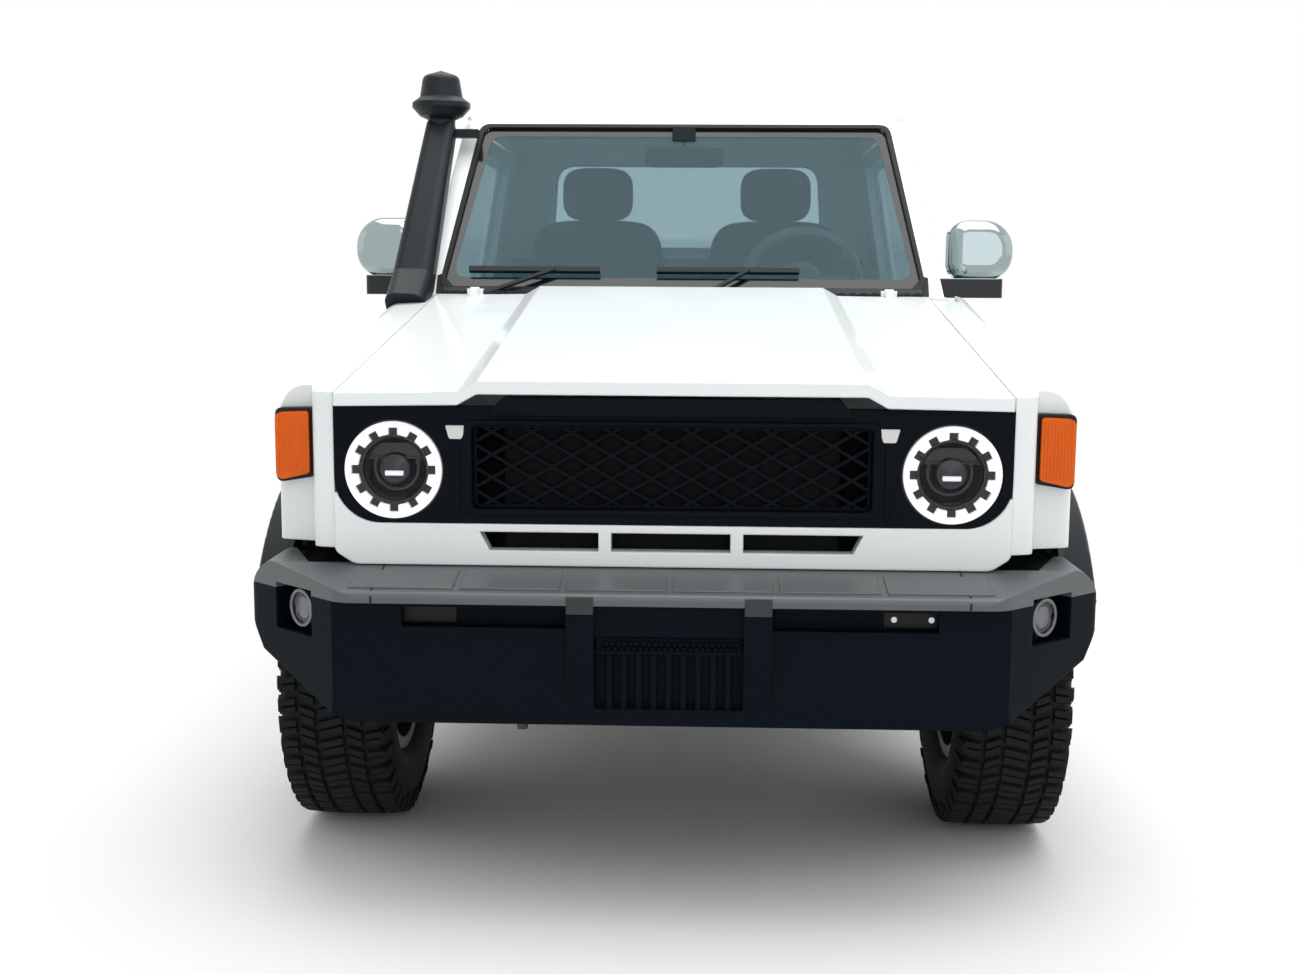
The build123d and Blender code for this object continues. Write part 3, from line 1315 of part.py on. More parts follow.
# Holes in the rail caps take a canopy or a rack
CANOPY_HOLE_D = 9.0
CANOPY_X = BED_X - RAIL_CAP_W / 2
CANOPY_Y0 = BED_FRONT + 210.0
CANOPY_PITCH = 1800.0
CANOPY_DEPTH = 60.0
for y in (CANOPY_Y0, CANOPY_Y0 + CANOPY_PITCH):
    bed_wall -= rod_z(CANOPY_X, y, BED_TOP_Z - CANOPY_DEPTH, BED_TOP_Z + 1, CANOPY_HOLE_D)
GATE_PIN_D = 22.0
GATE_PIN_L = 44.0
gate_pivot_y = BED_END - GATE_T / 2
gate_pivot_z = BED_FLOOR_Z + GATE_GAP + 20
bed_wall += rod_x(BED_INNER + 10, BED_INNER - GATE_PIN_L, gate_pivot_y, gate_pivot_z, GATE_PIN_D)
save("bed_sides", bed_wall, other_side(bed_wall))

bed_half = BED_INNER - FIT
save("bed_head", block(-bed_half, bed_half, BED_FRONT, bed_head_back, FLOOR_UNDER, BED_TOP_Z))

BOX_H = 150.0
BOX_X = 590.0
BOX_HALF = 500.0
BOX_WALL = 22.0
BOX_SLOPE = 90.0


def wheel_box(inset):
    """Solid form of the left wheel box, smaller by inset on its free sides."""
    front = REAR_AXLE - BOX_HALF + inset
    back = REAR_AXLE + BOX_HALF - inset
    top = BED_FLOOR_Z + BOX_H - inset
    rows = plain([
        (front, FLOOR_UNDER),
        (front, BED_FLOOR_Z),
        (front + BOX_SLOPE, top),
        (back - BOX_SLOPE, top),
        (back, BED_FLOOR_Z),
        (back, FLOOR_UNDER),
    ])
    return prism_x(rows, BOX_X + inset, bed_half)


box_shell = wheel_box(0) - wheel_box(BOX_WALL)
save("wheel_boxes", box_shell, other_side(box_shell))

bed_floor = block(-bed_half, bed_half, bed_head_back + FIT, bed_floor_end, FLOOR_UNDER, BED_FLOOR_Z)
SILLS = [
    # station, half length
    (CAB_BACK + 520, 780),
    (REAR_AXLE - 330, 560),
    (REAR_AXLE + 330, 560),
    (REAR_AXLE + 760, 780),
    (bed_floor_end - SILL_L / 2, 780),
]
for y, half in SILLS:
    bed_floor += block(-half, half, y - SILL_L / 2, y + SILL_L / 2, BED_RAIL_TOP, FLOOR_UNDER)
for shape in (wheel_box(-FIT), other_side(wheel_box(-FIT))):
    bed_floor -= shape
save("bed_floor", bed_floor)

# Mud flaps behind the rear wheels, under the bed's skirts
FLAP_X0 = 630.0
FLAP_T = 8.0
FLAP_Z0 = 215.0
flap_y = REAR_AXLE + ARCH_R + 14
flap_rows = [
    # half width, height, corner radius
    (FLAP_X0, FLAP_Z0, 24),
    (FLAP_X0, BED_SKIRT_Z - FIT, 0),
    (BED_X - FIT, BED_SKIRT_Z - FIT, 0),
    (BED_X - FIT, FLAP_Z0, 24),
]
flap = prism_y(flap_rows, flap_y, flap_y + FLAP_T)
save("mud_flaps", flap, other_side(flap))

# Tailgate between the bed's side walls, with pressed panels on its outer face
gate_half = BED_INNER - GATE_GAP
gate_rows = [
    # station, height, corner radius
    (BED_END - GATE_T, BED_FLOOR_Z + GATE_GAP, 0),
    (BED_END - GATE_T, BED_TOP_Z, 10),
    (BED_END, BED_TOP_Z, 10),
    (BED_END, BED_FLOOR_Z + GATE_GAP, 0),
]
gate = prism_x(gate_rows, -gate_half, gate_half)
gate_panel = [
    (-gate_half + 90, BED_FLOOR_Z + 80, 40),
    (-gate_half + 90, BED_TOP_Z - 120, 40),
    (gate_half - 90, BED_TOP_Z - 120, 40),
    (gate_half - 90, BED_FLOOR_Z + 80, 40),
]
gate -= prism_y(gate_panel, BED_END - 12, BED_END + 1)
latch = [
    (-80, BED_TOP_Z - 90, 10),
    (-80, BED_TOP_Z - 40, 10),
    (80, BED_TOP_Z - 40, 10),
    (80, BED_TOP_Z - 90, 10),
]
gate -= prism_y(latch, BED_END - 20, BED_END + 1)
for side in (-1, 1):
    gate -= rod_x(
        side * (BED_INNER + 10), side * (BED_INNER - GATE_PIN_L - FIT),
        gate_pivot_y, gate_pivot_z, GATE_PIN_D + 2 * RUN,
    )
save("tailgate", gate)

# Rear lamps on the ends of the bed's walls
REAR_LAMP_T = 26.0
rear_lamp_rows = [
    # half width, height, corner radius
    (BED_INNER + 6, 930, 8),
    (BED_INNER + 6, 1180, 8),
    (BED_X - 6, 1180, 8),
    (BED_X - 6, 930, 8),
]
rear_lamp = prism_y(rear_lamp_rows, BED_END, BED_END + REAR_LAMP_T)
save("rear_lamps", rear_lamp, other_side(rear_lamp))

# Rear bumper: a step beam across the rail ends
REAR_BUMPER_X = 800.0
rear_bumper_plan = both_sides([
    # half width, station, corner radius
    (REAR_BUMPER_X, TAIL_Y - REAR_BUMPER_D, 0),
    (REAR_BUMPER_X, TAIL_Y - 30, 20),
    (REAR_BUMPER_X - 60, TAIL_Y, 30),
])
rear_bumper = prism_z(rear_bumper_plan, 580, 740)
PLATE_HALF_W = 190.0
LEDGE_DEPTH = 60.0
LEDGE_Z = 602.0
TOW_HOLE_D = 22.0
rear_bumper -= block(-PLATE_HALF_W, PLATE_HALF_W, TAIL_Y - LEDGE_DEPTH, TAIL_Y + 1, LEDGE_Z, 741)
rear_bumper -= rod_z(0, TAIL_Y - LEDGE_DEPTH / 2, 500, LEDGE_Z + 10, TOW_HOLE_D)
STEP_Z = 712.0
for side in (-1, 1):
    low, high = sorted((side * (PLATE_HALF_W + 60), side * (REAR_BUMPER_X - 80)))
    rear_bumper -= block(low, high, TAIL_Y - 62, TAIL_Y - 14, STEP_Z, 741)
save("rear_bumper", rear_bumper)
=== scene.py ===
import json
import math

import bmesh
import bpy
from mathutils import Matrix, Vector


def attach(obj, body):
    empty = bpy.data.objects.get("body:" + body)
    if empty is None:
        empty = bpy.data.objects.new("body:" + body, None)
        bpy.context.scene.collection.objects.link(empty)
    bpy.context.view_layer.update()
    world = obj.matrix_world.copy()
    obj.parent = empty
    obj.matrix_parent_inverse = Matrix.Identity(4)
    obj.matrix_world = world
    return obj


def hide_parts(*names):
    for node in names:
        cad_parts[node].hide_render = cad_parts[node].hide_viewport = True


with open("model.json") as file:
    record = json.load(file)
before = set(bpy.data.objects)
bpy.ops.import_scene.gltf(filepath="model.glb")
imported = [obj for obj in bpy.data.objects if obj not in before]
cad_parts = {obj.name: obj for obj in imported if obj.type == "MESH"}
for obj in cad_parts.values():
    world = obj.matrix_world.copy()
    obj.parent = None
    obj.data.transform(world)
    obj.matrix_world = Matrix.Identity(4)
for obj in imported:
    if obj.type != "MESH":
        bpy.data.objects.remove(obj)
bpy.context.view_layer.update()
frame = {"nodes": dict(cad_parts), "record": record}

# Millimetres: X to the vehicle's left, Y to the rear from the front axle, Z up from the ground
AXLE_Y = 1815.0
TYRE_R = 388.5
REAR_AXLE_Y = 3180
MM = 1000


def metres(p):
    return (p[0] / MM, (p[1] - AXLE_Y) / MM, p[2] / MM)


def both_sides(near, far):
    """Spans across X between two distances from the middle, on the right and on the left."""
    return ((-far, -near), (near, far))


# Materials: a colour with soft clouds, and dust, soft edges or grain where asked
COAT_ROUGH = 0.06
DUST_COLOR = (0.32, 0.28, 0.23, 1)
DUST_FOOT = 0.1
GRAIN_DEPTH = 0.002
ROUGH_SPREAD = 0.15


def material(name, color, rough, metal=0.0, coat=0.0, vary=0.06, scale=5.0, grain=0.0, grain_scale=300.0,
             edge=0.0, dirt=0.0, dirt_top=0.5, glow=0.0, shine=0.5):
    mat = bpy.data.materials.new(name)
    mat.use_nodes = True
    nodes, links = mat.node_tree.nodes, mat.node_tree.links
    shader = nodes["Principled BSDF"]
    shader.inputs["Metallic"].default_value = metal
    shader.inputs["Specular IOR Level"].default_value = shine
    shader.inputs["Coat Weight"].default_value = coat
    shader.inputs["Coat Roughness"].default_value = COAT_ROUGH
    place = nodes.new("ShaderNodeTexCoord")
    cloud = nodes.new("ShaderNodeTexNoise")
    cloud.inputs["Scale"].default_value = scale
    cloud.inputs["Detail"].default_value = 5
    links.new(place.outputs["Object"], cloud.inputs["Vector"])
    tint = nodes.new("ShaderNodeMix")
    tint.data_type = "RGBA"
    tint.inputs["A"].default_value = (*[c * (1 - vary) for c in color], 1)
    tint.inputs["B"].default_value = (*[min(1, c * (1 + vary)) for c in color], 1)
    links.new(cloud.outputs["Fac"], tint.inputs["Factor"])
    result = tint.outputs["Result"]
    if dirt:
        parts = nodes.new("ShaderNodeSeparateXYZ")
        links.new(place.outputs["Object"], parts.inputs["Vector"])
        low = nodes.new("ShaderNodeMapRange")
        low.inputs["From Min"].default_value = DUST_FOOT
        low.inputs["From Max"].default_value = dirt_top
        low.inputs["To Min"].default_value = dirt
        low.inputs["To Max"].default_value = 0
        links.new(parts.outputs["Z"], low.inputs["Value"])
        patch = nodes.new("ShaderNodeMath")
        patch.operation = "MULTIPLY"
        links.new(low.outputs["Result"], patch.inputs[0])
        links.new(cloud.outputs["Fac"], patch.inputs[1])
        dust = nodes.new("ShaderNodeMix")
        dust.data_type = "RGBA"
        dust.inputs["B"].default_value = DUST_COLOR
        links.new(patch.outputs["Value"], dust.inputs["Factor"])
        links.new(result, dust.inputs["A"])
        result = dust.outputs["Result"]
    links.new(result, shader.inputs["Base Color"])
    gloss = nodes.new("ShaderNodeMapRange")
    gloss.inputs["To Min"].default_value = max(0.02, rough * (1 - ROUGH_SPREAD))
    gloss.inputs["To Max"].default_value = min(1, rough * (1 + ROUGH_SPREAD))
    links.new(cloud.outputs["Fac"], gloss.inputs["Value"])
    links.new(gloss.outputs["Result"], shader.inputs["Roughness"])
    normal = None
    if edge:
        soft = nodes.new("ShaderNodeBevel")
        soft.samples = 4
        soft.inputs["Radius"].default_value = edge / MM
        normal = soft.outputs["Normal"]
        links.new(normal, shader.inputs["Normal"])
    if grain:
        speck = nodes.new("ShaderNodeTexNoise")
        speck.inputs["Scale"].default_value = grain_scale
        speck.inputs["Detail"].default_value = 2
        links.new(place.outputs["Object"], speck.inputs["Vector"])
        bump = nodes.new("ShaderNodeBump")
        bump.inputs["Strength"].default_value = grain
        bump.inputs["Distance"].default_value = GRAIN_DEPTH
        links.new(speck.outputs["Fac"], bump.inputs["Height"])
        if normal:
            links.new(normal, bump.inputs["Normal"])
        links.new(bump.outputs["Normal"], shader.inputs["Normal"])
    if glow:
        links.new(result, shader.inputs["Emission Color"])
        shader.inputs["Emission Strength"].default_value = glow
    return mat


def clear(name, color, bend, reflection_glow=None):
    """See-through material; its optional glow is a painted reflection, a faint light standing in for what the
    pane reflects.
    """
    mat = material(name, color, 0.02, vary=0.02)
    shader = mat.node_tree.nodes["Principled BSDF"]
    shader.inputs["Transmission Weight"].default_value = 1.0
    shader.inputs["IOR"].default_value = bend
    if reflection_glow:
        shader.inputs["Emission Color"].default_value = (*reflection_glow, 1)
        shader.inputs["Emission Strength"].default_value = 1.0
    return mat


white_paint = material("white_paint", (0.8, 0.845, 0.845), 0.3, coat=0.6, vary=0.012, scale=2.5, edge=5,
                       dirt=0.12, dirt_top=0.75)
black_trim = material("black_trim", (0.005, 0.0085, 0.011), 0.42, vary=0.15, grain=0.12, grain_scale=500,
                      edge=2.5, shine=0.24)
grille_black = material("grille_black", (0.0012, 0.0034, 0.0064), 0.42, vary=0.15, grain=0.06,
                        grain_scale=500, edge=2, shine=0.07)
# The bumper's own grey is painted light: the shelf on top is made lighter as lit from above, and dark_below
# gives the face its painted shade.
bumper_black = material("bumper_black", (0.085, 0.096, 0.1), 0.36, vary=0.12, grain=0.05, grain_scale=700,
                        edge=5)
# A lighter grey copy of the bumper plastic: painted light on the tops of the ribs.
rib_painted_light = material("rib_painted_light", (0.03, 0.034, 0.037), 0.42, vary=0.15, grain=0.05, grain_scale=700, shine=0.3)
# A lighter grey copy of the bumper plastic: a painted highlight on the shelf pads.
shelf_painted_light = material("shelf_painted_light", (0.085, 0.092, 0.096), 0.34, vary=0.1, grain=0.06, grain_scale=600,
                      edge=3)
chassis_black = material("chassis_black", (0.014, 0.014, 0.016), 0.5, vary=0.2, grain=0.1, edge=2, dirt=0.25,
                         dirt_top=0.9)
axle_iron = material("axle_iron", (0.05, 0.05, 0.054), 0.55, metal=0.6, vary=0.25, grain=0.3,
                     grain_scale=220, edge=3, dirt=0.5, dirt_top=0.8)
exhaust_steel = material("exhaust_steel", (0.35, 0.33, 0.3), 0.42, metal=1.0, vary=0.25, scale=14, grain=0.05)
radiator_core = material("radiator_core", (0.006, 0.006, 0.007), 0.8, vary=0.2, shine=0.1)
lamp_bowl = material("lamp_bowl", (0.008, 0.009, 0.011), 0.16, vary=0.1)
lamp_white = material("lamp_white", (0.9, 0.91, 0.93), 0.22, vary=0.02, glow=0.25)
lamp_amber = material("lamp_amber", (0.62, 0.1, 0.002), 0.2, vary=0.12, scale=40, glow=0.12, shine=0.25)
lamp_red = material("lamp_red", (0.45, 0.012, 0.012), 0.16, coat=0.8, vary=0.1)
mirror_chrome = material("mirror_chrome", (0.34, 0.405, 0.415), 0.06, metal=1.0, vary=0.02)


def dark_below(mat, height, color, rough, shine):
    """Gives the material another plastic below a height: a black foot under the mirror's shell; on the
    bumper, a painted shade on the face under the painted-lit shelf.
    """
    nodes, links = mat.node_tree.nodes, mat.node_tree.links
    shader = nodes["Principled BSDF"]
    # The lower shader: the mirror's black foot, and on the bumper the painted shade of its face.
    foot = nodes.new("ShaderNodeBsdfPrincipled")
    foot.inputs["Base Color"].default_value = (*color, 1)
    foot.inputs["Roughness"].default_value = rough
    foot.inputs["Specular IOR Level"].default_value = shine
    if shader.inputs["Normal"].links:
        links.new(shader.inputs["Normal"].links[0].from_socket, foot.inputs["Normal"])
    place = nodes.new("ShaderNodeTexCoord")
    parts = nodes.new("ShaderNodeSeparateXYZ")
    links.new(place.outputs["Object"], parts.inputs["Vector"])
    over = nodes.new("ShaderNodeMath")
    over.operation = "GREATER_THAN"
    over.inputs[1].default_value = height
    links.new(parts.outputs["Z"], over.inputs[0])
    mix = nodes.new("ShaderNodeMixShader")
    links.new(over.outputs["Value"], mix.inputs["Fac"])
    links.new(foot.outputs["BSDF"], mix.inputs[1])
    links.new(shader.outputs["BSDF"], mix.inputs[2])
    links.new(mix.outputs["Shader"], nodes["Material Output"].inputs["Surface"])


MIRROR_FOOT_TOP = 1.342
BUMPER_FACE_TOP = 0.699
dark_below(mirror_chrome, MIRROR_FOOT_TOP, (0.008, 0.009, 0.01), 0.4, 0.4)
# On the bumper, the darker blue-black below the height is painted shade on the face, and the grey above it is
# painted light on the shelf.
dark_below(bumper_black, BUMPER_FACE_TOP, (0.0012, 0.0042, 0.0075), 0.46, 0.06)
tyre_rubber = material("tyre_rubber", (0.0032, 0.0048, 0.006), 0.7, vary=0.2, scale=12, grain=0.18,
                       grain_scale=260, dirt=0.03, dirt_top=0.8, shine=0.2)
rim_grey = material("rim_grey", (0.2, 0.205, 0.215), 0.36, metal=0.9, vary=0.08, edge=3)
cabin_plastic = material("cabin_plastic", (0.24, 0.25, 0.255), 0.62, vary=0.06, grain=0.15, grain_scale=420,
                         edge=3)
seat_cloth = material("seat_cloth", (0.06, 0.063, 0.068), 0.9, vary=0.2, scale=60, grain=0.5, grain_scale=600)
lining = material("lining", (0.42, 0.42, 0.41), 0.8, vary=0.06, grain=0.2, grain_scale=500)
rubber = material("rubber", (0.006, 0.006, 0.0065), 0.55, vary=0.1, grain=0.05, shine=0.3)
# Near-black matte material for the painted shade behind the grille.
painted_shade_black = material("painted_shade_black", (0.0015, 0.0015, 0.0018), 0.9, vary=0.1, shine=0.05)
bright_pane = material("bright_pane", (0.8, 0.82, 0.84), 0.03, metal=1.0, vary=0.02)
bright_steel = material("bright_steel", (0.6, 0.61, 0.62), 0.28, metal=1.0, vary=0.08, scale=20)
screen_tint = material("screen_tint", (0.008, 0.009, 0.01), 0.12, vary=0.05)
lens_white = material("lens_white", (0.72, 0.73, 0.72), 0.35, vary=0.02)
# The faint blue-green glow on the glass is a painted reflection.
glass_tint = clear("glass_tint", (0.37, 0.43, 0.44), 1.22, reflection_glow=(0.015, 0.038, 0.047))
lens_clear = clear("lens_clear", (0.95, 0.96, 0.98), 1.15)

SLOT_MATERIALS = {
    "white_paint": white_paint, "black_trim": black_trim, "bumper_black": bumper_black,
    "chassis_black": chassis_black, "axle_iron": axle_iron, "exhaust_steel": exhaust_steel,
    "radiator_core": radiator_core, "glass_tint": glass_tint, "lamp_bowl": lamp_bowl,
    "lamp_white": lamp_white, "lamp_amber": lamp_amber, "lamp_red": lamp_red,
    "mirror_chrome": mirror_chrome, "tyre_rubber": tyre_rubber, "rim_grey": rim_grey,
    "seat_cloth": seat_cloth, "cabin_plastic": cabin_plastic,
}
for subpart in frame["record"]["subparts"]:
    mesh = frame["nodes"][subpart["node"]].data
    mesh.materials.clear()
    mesh.materials.append(SLOT_MATERIALS[subpart["material_slot"]])
for node in ("grille_panel", "grille_mesh"):
    frame["nodes"][node].data.materials[0] = grille_black


# Shapes: the faces of a box, the order of coordinates along each axis, and the pieces made so far
BOX_FACES = [(0, 1, 3, 2), (4, 6, 7, 5), (0, 4, 5, 1), (2, 3, 7, 6), (0, 2, 6, 4), (1, 5, 7, 3)]
ALONG = {"x": lambda u, v, a: (a, u, v), "y": lambda u, v, a: (u, a, v), "z": lambda u, v, a: (u, v, a)}
TUBE_UP = (0.21, 0.35, 0.91)


class Bag:
    """Gathers small solids into one mesh."""

    def __init__(self):
        self.verts, self.faces = [], []

    def add(self, verts, faces, turn=None):
        n = len(self.verts)
        if turn:
            verts = [tuple(turn @ Vector(v)) for v in verts]
        self.verts += [tuple(v) for v in verts]
        self.faces += [[i + n for i in f] for f in faces]

    def box(self, x0, x1, y0, y1, z0, z1):
        verts = [(x, y, z) for x in (x0, x1) for y in (y0, y1) for z in (z0, z1)]
        self.add(verts, BOX_FACES)

    def loft(self, loops, closed=False, turn=None):
        """Skin through loops of points, with end caps unless it closes on itself."""
        n, m = len(loops), len(loops[0])
        verts = [p for loop in loops for p in loop]
        faces = []
        for i in range(n if closed else n - 1):
            a, b = i * m, (i + 1) % n * m
            faces += [(a + j, a + (j + 1) % m, b + (j + 1) % m, b + j) for j in range(m)]
        if not closed:
            faces += [tuple(range(m))[::-1], tuple(range((n - 1) * m, n * m))]
        self.add(verts, faces, turn)

    def prism(self, points, axis, a0, a1):
        order = ALONG[axis]
        self.loft([[order(u, v, a) for u, v in points] for a in (a0, a1)])

    def lathe(self, rows, centre, axis, steps=32, turn=None):
        """Rows are (distance along the axis, radius); the rows close on themselves."""
        loops = []
        for i in range(steps):
            t = 2 * math.pi * i / steps
            c, s = math.cos(t), math.sin(t)
            order = ALONG[axis]
            loops.append([tuple(p + q for p, q in zip(centre, order(r * c, r * s, a))) for a, r in rows])
        self.loft(loops, closed=True, turn=turn)

    def rod(self, start, end, d, steps=12):
        a, b = Vector(start), Vector(end)
        side = (b - a).orthogonal().normalized()
        other = (b - a).normalized().cross(side)
        spin = [(math.cos(2 * math.pi * i / steps), math.sin(2 * math.pi * i / steps)) for i in range(steps)]
        self.loft([[p + (side * c + other * s) * d / 2 for c, s in spin] for p in (a, b)])

    def sweep(self, path, d, steps=8):
        """Tube along an open path."""
        pts = [Vector(p) for p in path]
        loops, n = [], len(pts)
        for i, p in enumerate(pts):
            ahead = pts[i + 1] if i < n - 1 else p
            behind = pts[i - 1] if i else p
            along = (ahead - behind).normalized()
            side = along.cross(Vector(TUBE_UP)).normalized()
            up = side.cross(along)
            loops.append([p + (side * math.cos(t) + up * math.sin(t)) * d / 2
                          for t in [2 * math.pi * k / steps for k in range(steps)]])
        self.loft(loops)

    def make(self, name, body, mat, bevel=0.0, smooth=35, mirror=None):
        """One piece on a body; mirror names the body that takes its mirror image."""
        for flip, owner in ((1, body), (-1, mirror)):
            if not owner:
                continue
            mesh = bpy.data.meshes.new(name if flip > 0 else name + "_mirrored")
            mesh.from_pydata([metres((flip * x, y, z)) for x, y, z in self.verts], [], self.faces)
            work = bmesh.new()
            work.from_mesh(mesh)
            bmesh.ops.recalc_face_normals(work, faces=work.faces)
            work.to_mesh(mesh)
            work.free()
            mesh.polygons.foreach_set("use_smooth", [True] * len(mesh.polygons))
            mesh.set_sharp_from_angle(angle=math.radians(smooth))
            mesh.materials.append(mat)
            obj = bpy.data.objects.new(mesh.name, mesh)
            bpy.context.collection.objects.link(obj)
            if bevel:
                soften = obj.modifiers.new("bevel", "BEVEL")
                soften.width = bevel / MM
                soften.segments = 2
                soften.limit_method = "ANGLE"
            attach(obj, owner)


def rounded(points, steps=5):
    """Closed outline with rounded corners, from (u, v, radius) rows."""
    out, n = [], len(points)
    for i, (u, v, r) in enumerate(points):
        here = Vector((u, v))
        before = (Vector(points[i - 1][:2]) - here).normalized()
        after = (Vector(points[(i + 1) % n][:2]) - here).normalized()
        if r <= 0:
            out.append((u, v))
            continue
        half = before.angle(after) / 2
        reach = r / math.tan(half)
        a, b = here + before * reach, here + after * reach
        for k in range(steps + 1):
            t = k / steps
            q = a * (1 - t) ** 2 + here * 2 * t * (1 - t) + b * t ** 2
            out.append((q.x, q.y))
    return out


# Tyres: a carcass with tread blocks and shoulder lugs, then wheel nuts, caps and valves
CARCASS = [(0, 214.5), (89, 214.5), (89, 229), (112, 246), (126, 272), (130.5, 296), (128, 324), (122, 348),
           (115, 364), (104, 373), (60, 377), (0, 378)]
PITCHES = 46
BLOCKS = [
    # inner edge, outer edge, share of a pitch, stagger, skew
    (-27, 27, 0.78, 0.0, 7),
    (36, 70, 0.74, 0.5, -6),
    (-70, -36, 0.74, 0.5, -6),
    (79, 117, 0.66, 0.12, 3),
    (-117, -79, 0.66, 0.62, 3),
]
BLOCK_HALVES = ((0.0, 0.46), (0.54, 1.0))
BLOCK_ROWS = ((368, 0.0), (385, 0.0), (387.6, 1.6))
CROWN_HALF_W = 60
CROWN_DROP = 0.075
LUG_ROWS = ((382, 118), (366, 121.5))
LUG_FOOT_X = 127.5
LUG_FEET = (352, 338)
LUG_STAGGER = {1: 0.12, -1: 0.62}
LUG_CORNERS = ((-9, 0.05), (2.2, 0.05), (2.2, 0.6), (-9, 0.6))
SIDE_BEADS = ((262, 121), (318, 128.6))
TYRE_STEPS = 72
NUT_COUNT = 6
NUT_CIRCLE_R = 84
NUT_ROWS = [(58, 0), (58, 15), (64, 15), (64, 11.5), (80, 11.5), (84, 8), (84, 0)]
CAP_ROWS = [(66, 0), (66, 48), (84, 48), (92, 42), (95, 24), (96, 0)]
WHEELS = (("front", 780, 0), ("rear", 730, REAR_AXLE_Y))


def on_tyre(x, turn, r):
    return (x, r * math.cos(turn), r * math.sin(turn))


def tread(bag):
    step = 2 * math.pi / PITCHES
    for i in range(PITCHES):
        for x0, x1, share, stagger, skew in BLOCKS:
            start = (i + stagger) * step
            span = share * step
            slant = skew / TYRE_R
            for a, b in BLOCK_HALVES:
                loops = []
                for r, inset in BLOCK_ROWS:
                    loop = []
                    for x, end in ((x0 + inset, -1), (x1 - inset, -1), (x1 - inset, 1), (x0 + inset, 1)):
                        lean = slant * (1 if x > (x0 + x1) / 2 else -1)
                        turn = start + span * (a if end < 0 else b) + lean - end * inset / TYRE_R
                        drop = max(0, abs(x) - CROWN_HALF_W) * CROWN_DROP
                        loop.append(on_tyre(x, turn, r - drop))
                    loops.append(loop)
                bag.loft(loops)
        for side in (-1, 1):
            start = (i + LUG_STAGGER[side]) * step
            loops = []
            for r, x in (*LUG_ROWS, (LUG_FEET[i % 2], LUG_FOOT_X)):
                loops.append([on_tyre(side * (x + dx), start + step * end, r) for dx, end in LUG_CORNERS])
            bag.loft(loops)


for axle, half_track, station in WHEELS:
    centre = (half_track, station, TYRE_R)
    seat = Matrix.Translation(centre)
    bag = Bag()
    bag.lathe(CARCASS + [(-a, r) for a, r in CARCASS[-2:0:-1]], (0, 0, 0), "x", TYRE_STEPS)
    for r, x in SIDE_BEADS:
        bag.lathe([(x - 2, r - 4), (x + 2.4, r), (x - 2, r + 4)], (0, 0, 0), "x", TYRE_STEPS)
    tread(bag)
    bag.verts = [tuple(seat @ Vector(v)) for v in bag.verts]
    left, right = axle + "_left_wheel", axle + "_right_wheel"
    bag.make("tread_" + axle, left, tyre_rubber, smooth=32, mirror=right)
    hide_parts("tyre_" + axle + "_left")
    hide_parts("tyre_" + axle + "_right")
    bag = Bag()
    for i in range(NUT_COUNT):
        t = math.pi / 3 * i
        y, z = station + NUT_CIRCLE_R * math.cos(t), TYRE_R + NUT_CIRCLE_R * math.sin(t)
        bag.lathe(NUT_ROWS, (0, 0, 0), "x", 6, turn=Matrix.Translation((half_track, y, z)))
    bag.make("wheel_nuts_" + axle, left, bright_steel, mirror=right)
    bag = Bag()
    bag.lathe(CAP_ROWS, centre, "x", 32)
    bag.rod((half_track + 60, station + 182, TYRE_R), (half_track + 92, station + 176, TYRE_R), 9)
    bag.make("wheel_cap_" + axle, left, black_trim, mirror=right)

# Panes: a black border on the windscreen, and a rubber seal round each pane
SCREEN_FOOT, SCREEN_HEAD = (566.0, 1292.0), (872.0, 1792.0)
screen_run, screen_up = SCREEN_HEAD[0] - SCREEN_FOOT[0], SCREEN_HEAD[1] - SCREEN_FOOT[1]
screen_rise = math.hypot(screen_run, screen_up)
lean = (screen_run / screen_rise, screen_up / screen_rise)


def on_screen(x, v, out):
    """Point on the windscreen: across, up the glass, and out from the cab's face."""
    back, rise = lean
    return (x, SCREEN_FOOT[0] + v * back - out * rise, SCREEN_FOOT[1] + v * rise + out * back)


def frame_strip(bag, outer, inner, spot, low, high):
    """Flat ring between two outlines, with a thickness from low to high."""
    loops = [[spot(u, v, low) for u, v in outer], [spot(u, v, high) for u, v in outer],
             [spot(u, v, high) for u, v in inner], [spot(u, v, low) for u, v in inner]]
    rows = [list(row) for row in zip(*loops)]
    bag.loft(rows, closed=True)


def quad(foot, head, v0, v1, r):
    """Rounded outline from its half widths at the foot and head, its two heights and a radius."""
    return rounded([(foot, v0, r), (head, v1, r), (-head, v1, r), (-foot, v0, r)])


GLASS_FACE = -10.0
border_out = quad(676, 592, 21, screen_rise - 13, 34)
border_in = quad(650, 566, 60, screen_rise - 42, 40)
bag = Bag()
frame_strip(bag, border_out, border_in, on_screen, GLASS_FACE + 0.3, GLASS_FACE + 1.2)
bag.make("screen_border", "chassis", screen_tint)
seal_out = quad(686, 602, 12, screen_rise - 4, 36)
seal_in = quad(672, 588, 25, screen_rise - 17, 30)
bag = Bag()
frame_strip(bag, seal_out, seal_in, on_screen, GLASS_FACE + 0.3, 2.5)
bag.make("screen_seal", "chassis", rubber, bevel=1.5)

CAB_BACK = 1950
bag = Bag()
rear_out = rounded([(506, 1434, 62), (486, 1756, 72), (-486, 1756, 72), (-506, 1434, 62)])
rear_in = rounded([(490, 1450, 56), (470, 1740, 64), (-470, 1740, 64), (-490, 1450, 56)])
frame_strip(bag, rear_out, rear_in, lambda u, v, out: (u, CAB_BACK + out, v), -9.7, 3)
bag.make("rear_seal", "chassis", rubber, bevel=1.5)

SIDE_BELT, SIDE_RAIL = (732.0, 1288.0), (648.0, 1780.0)


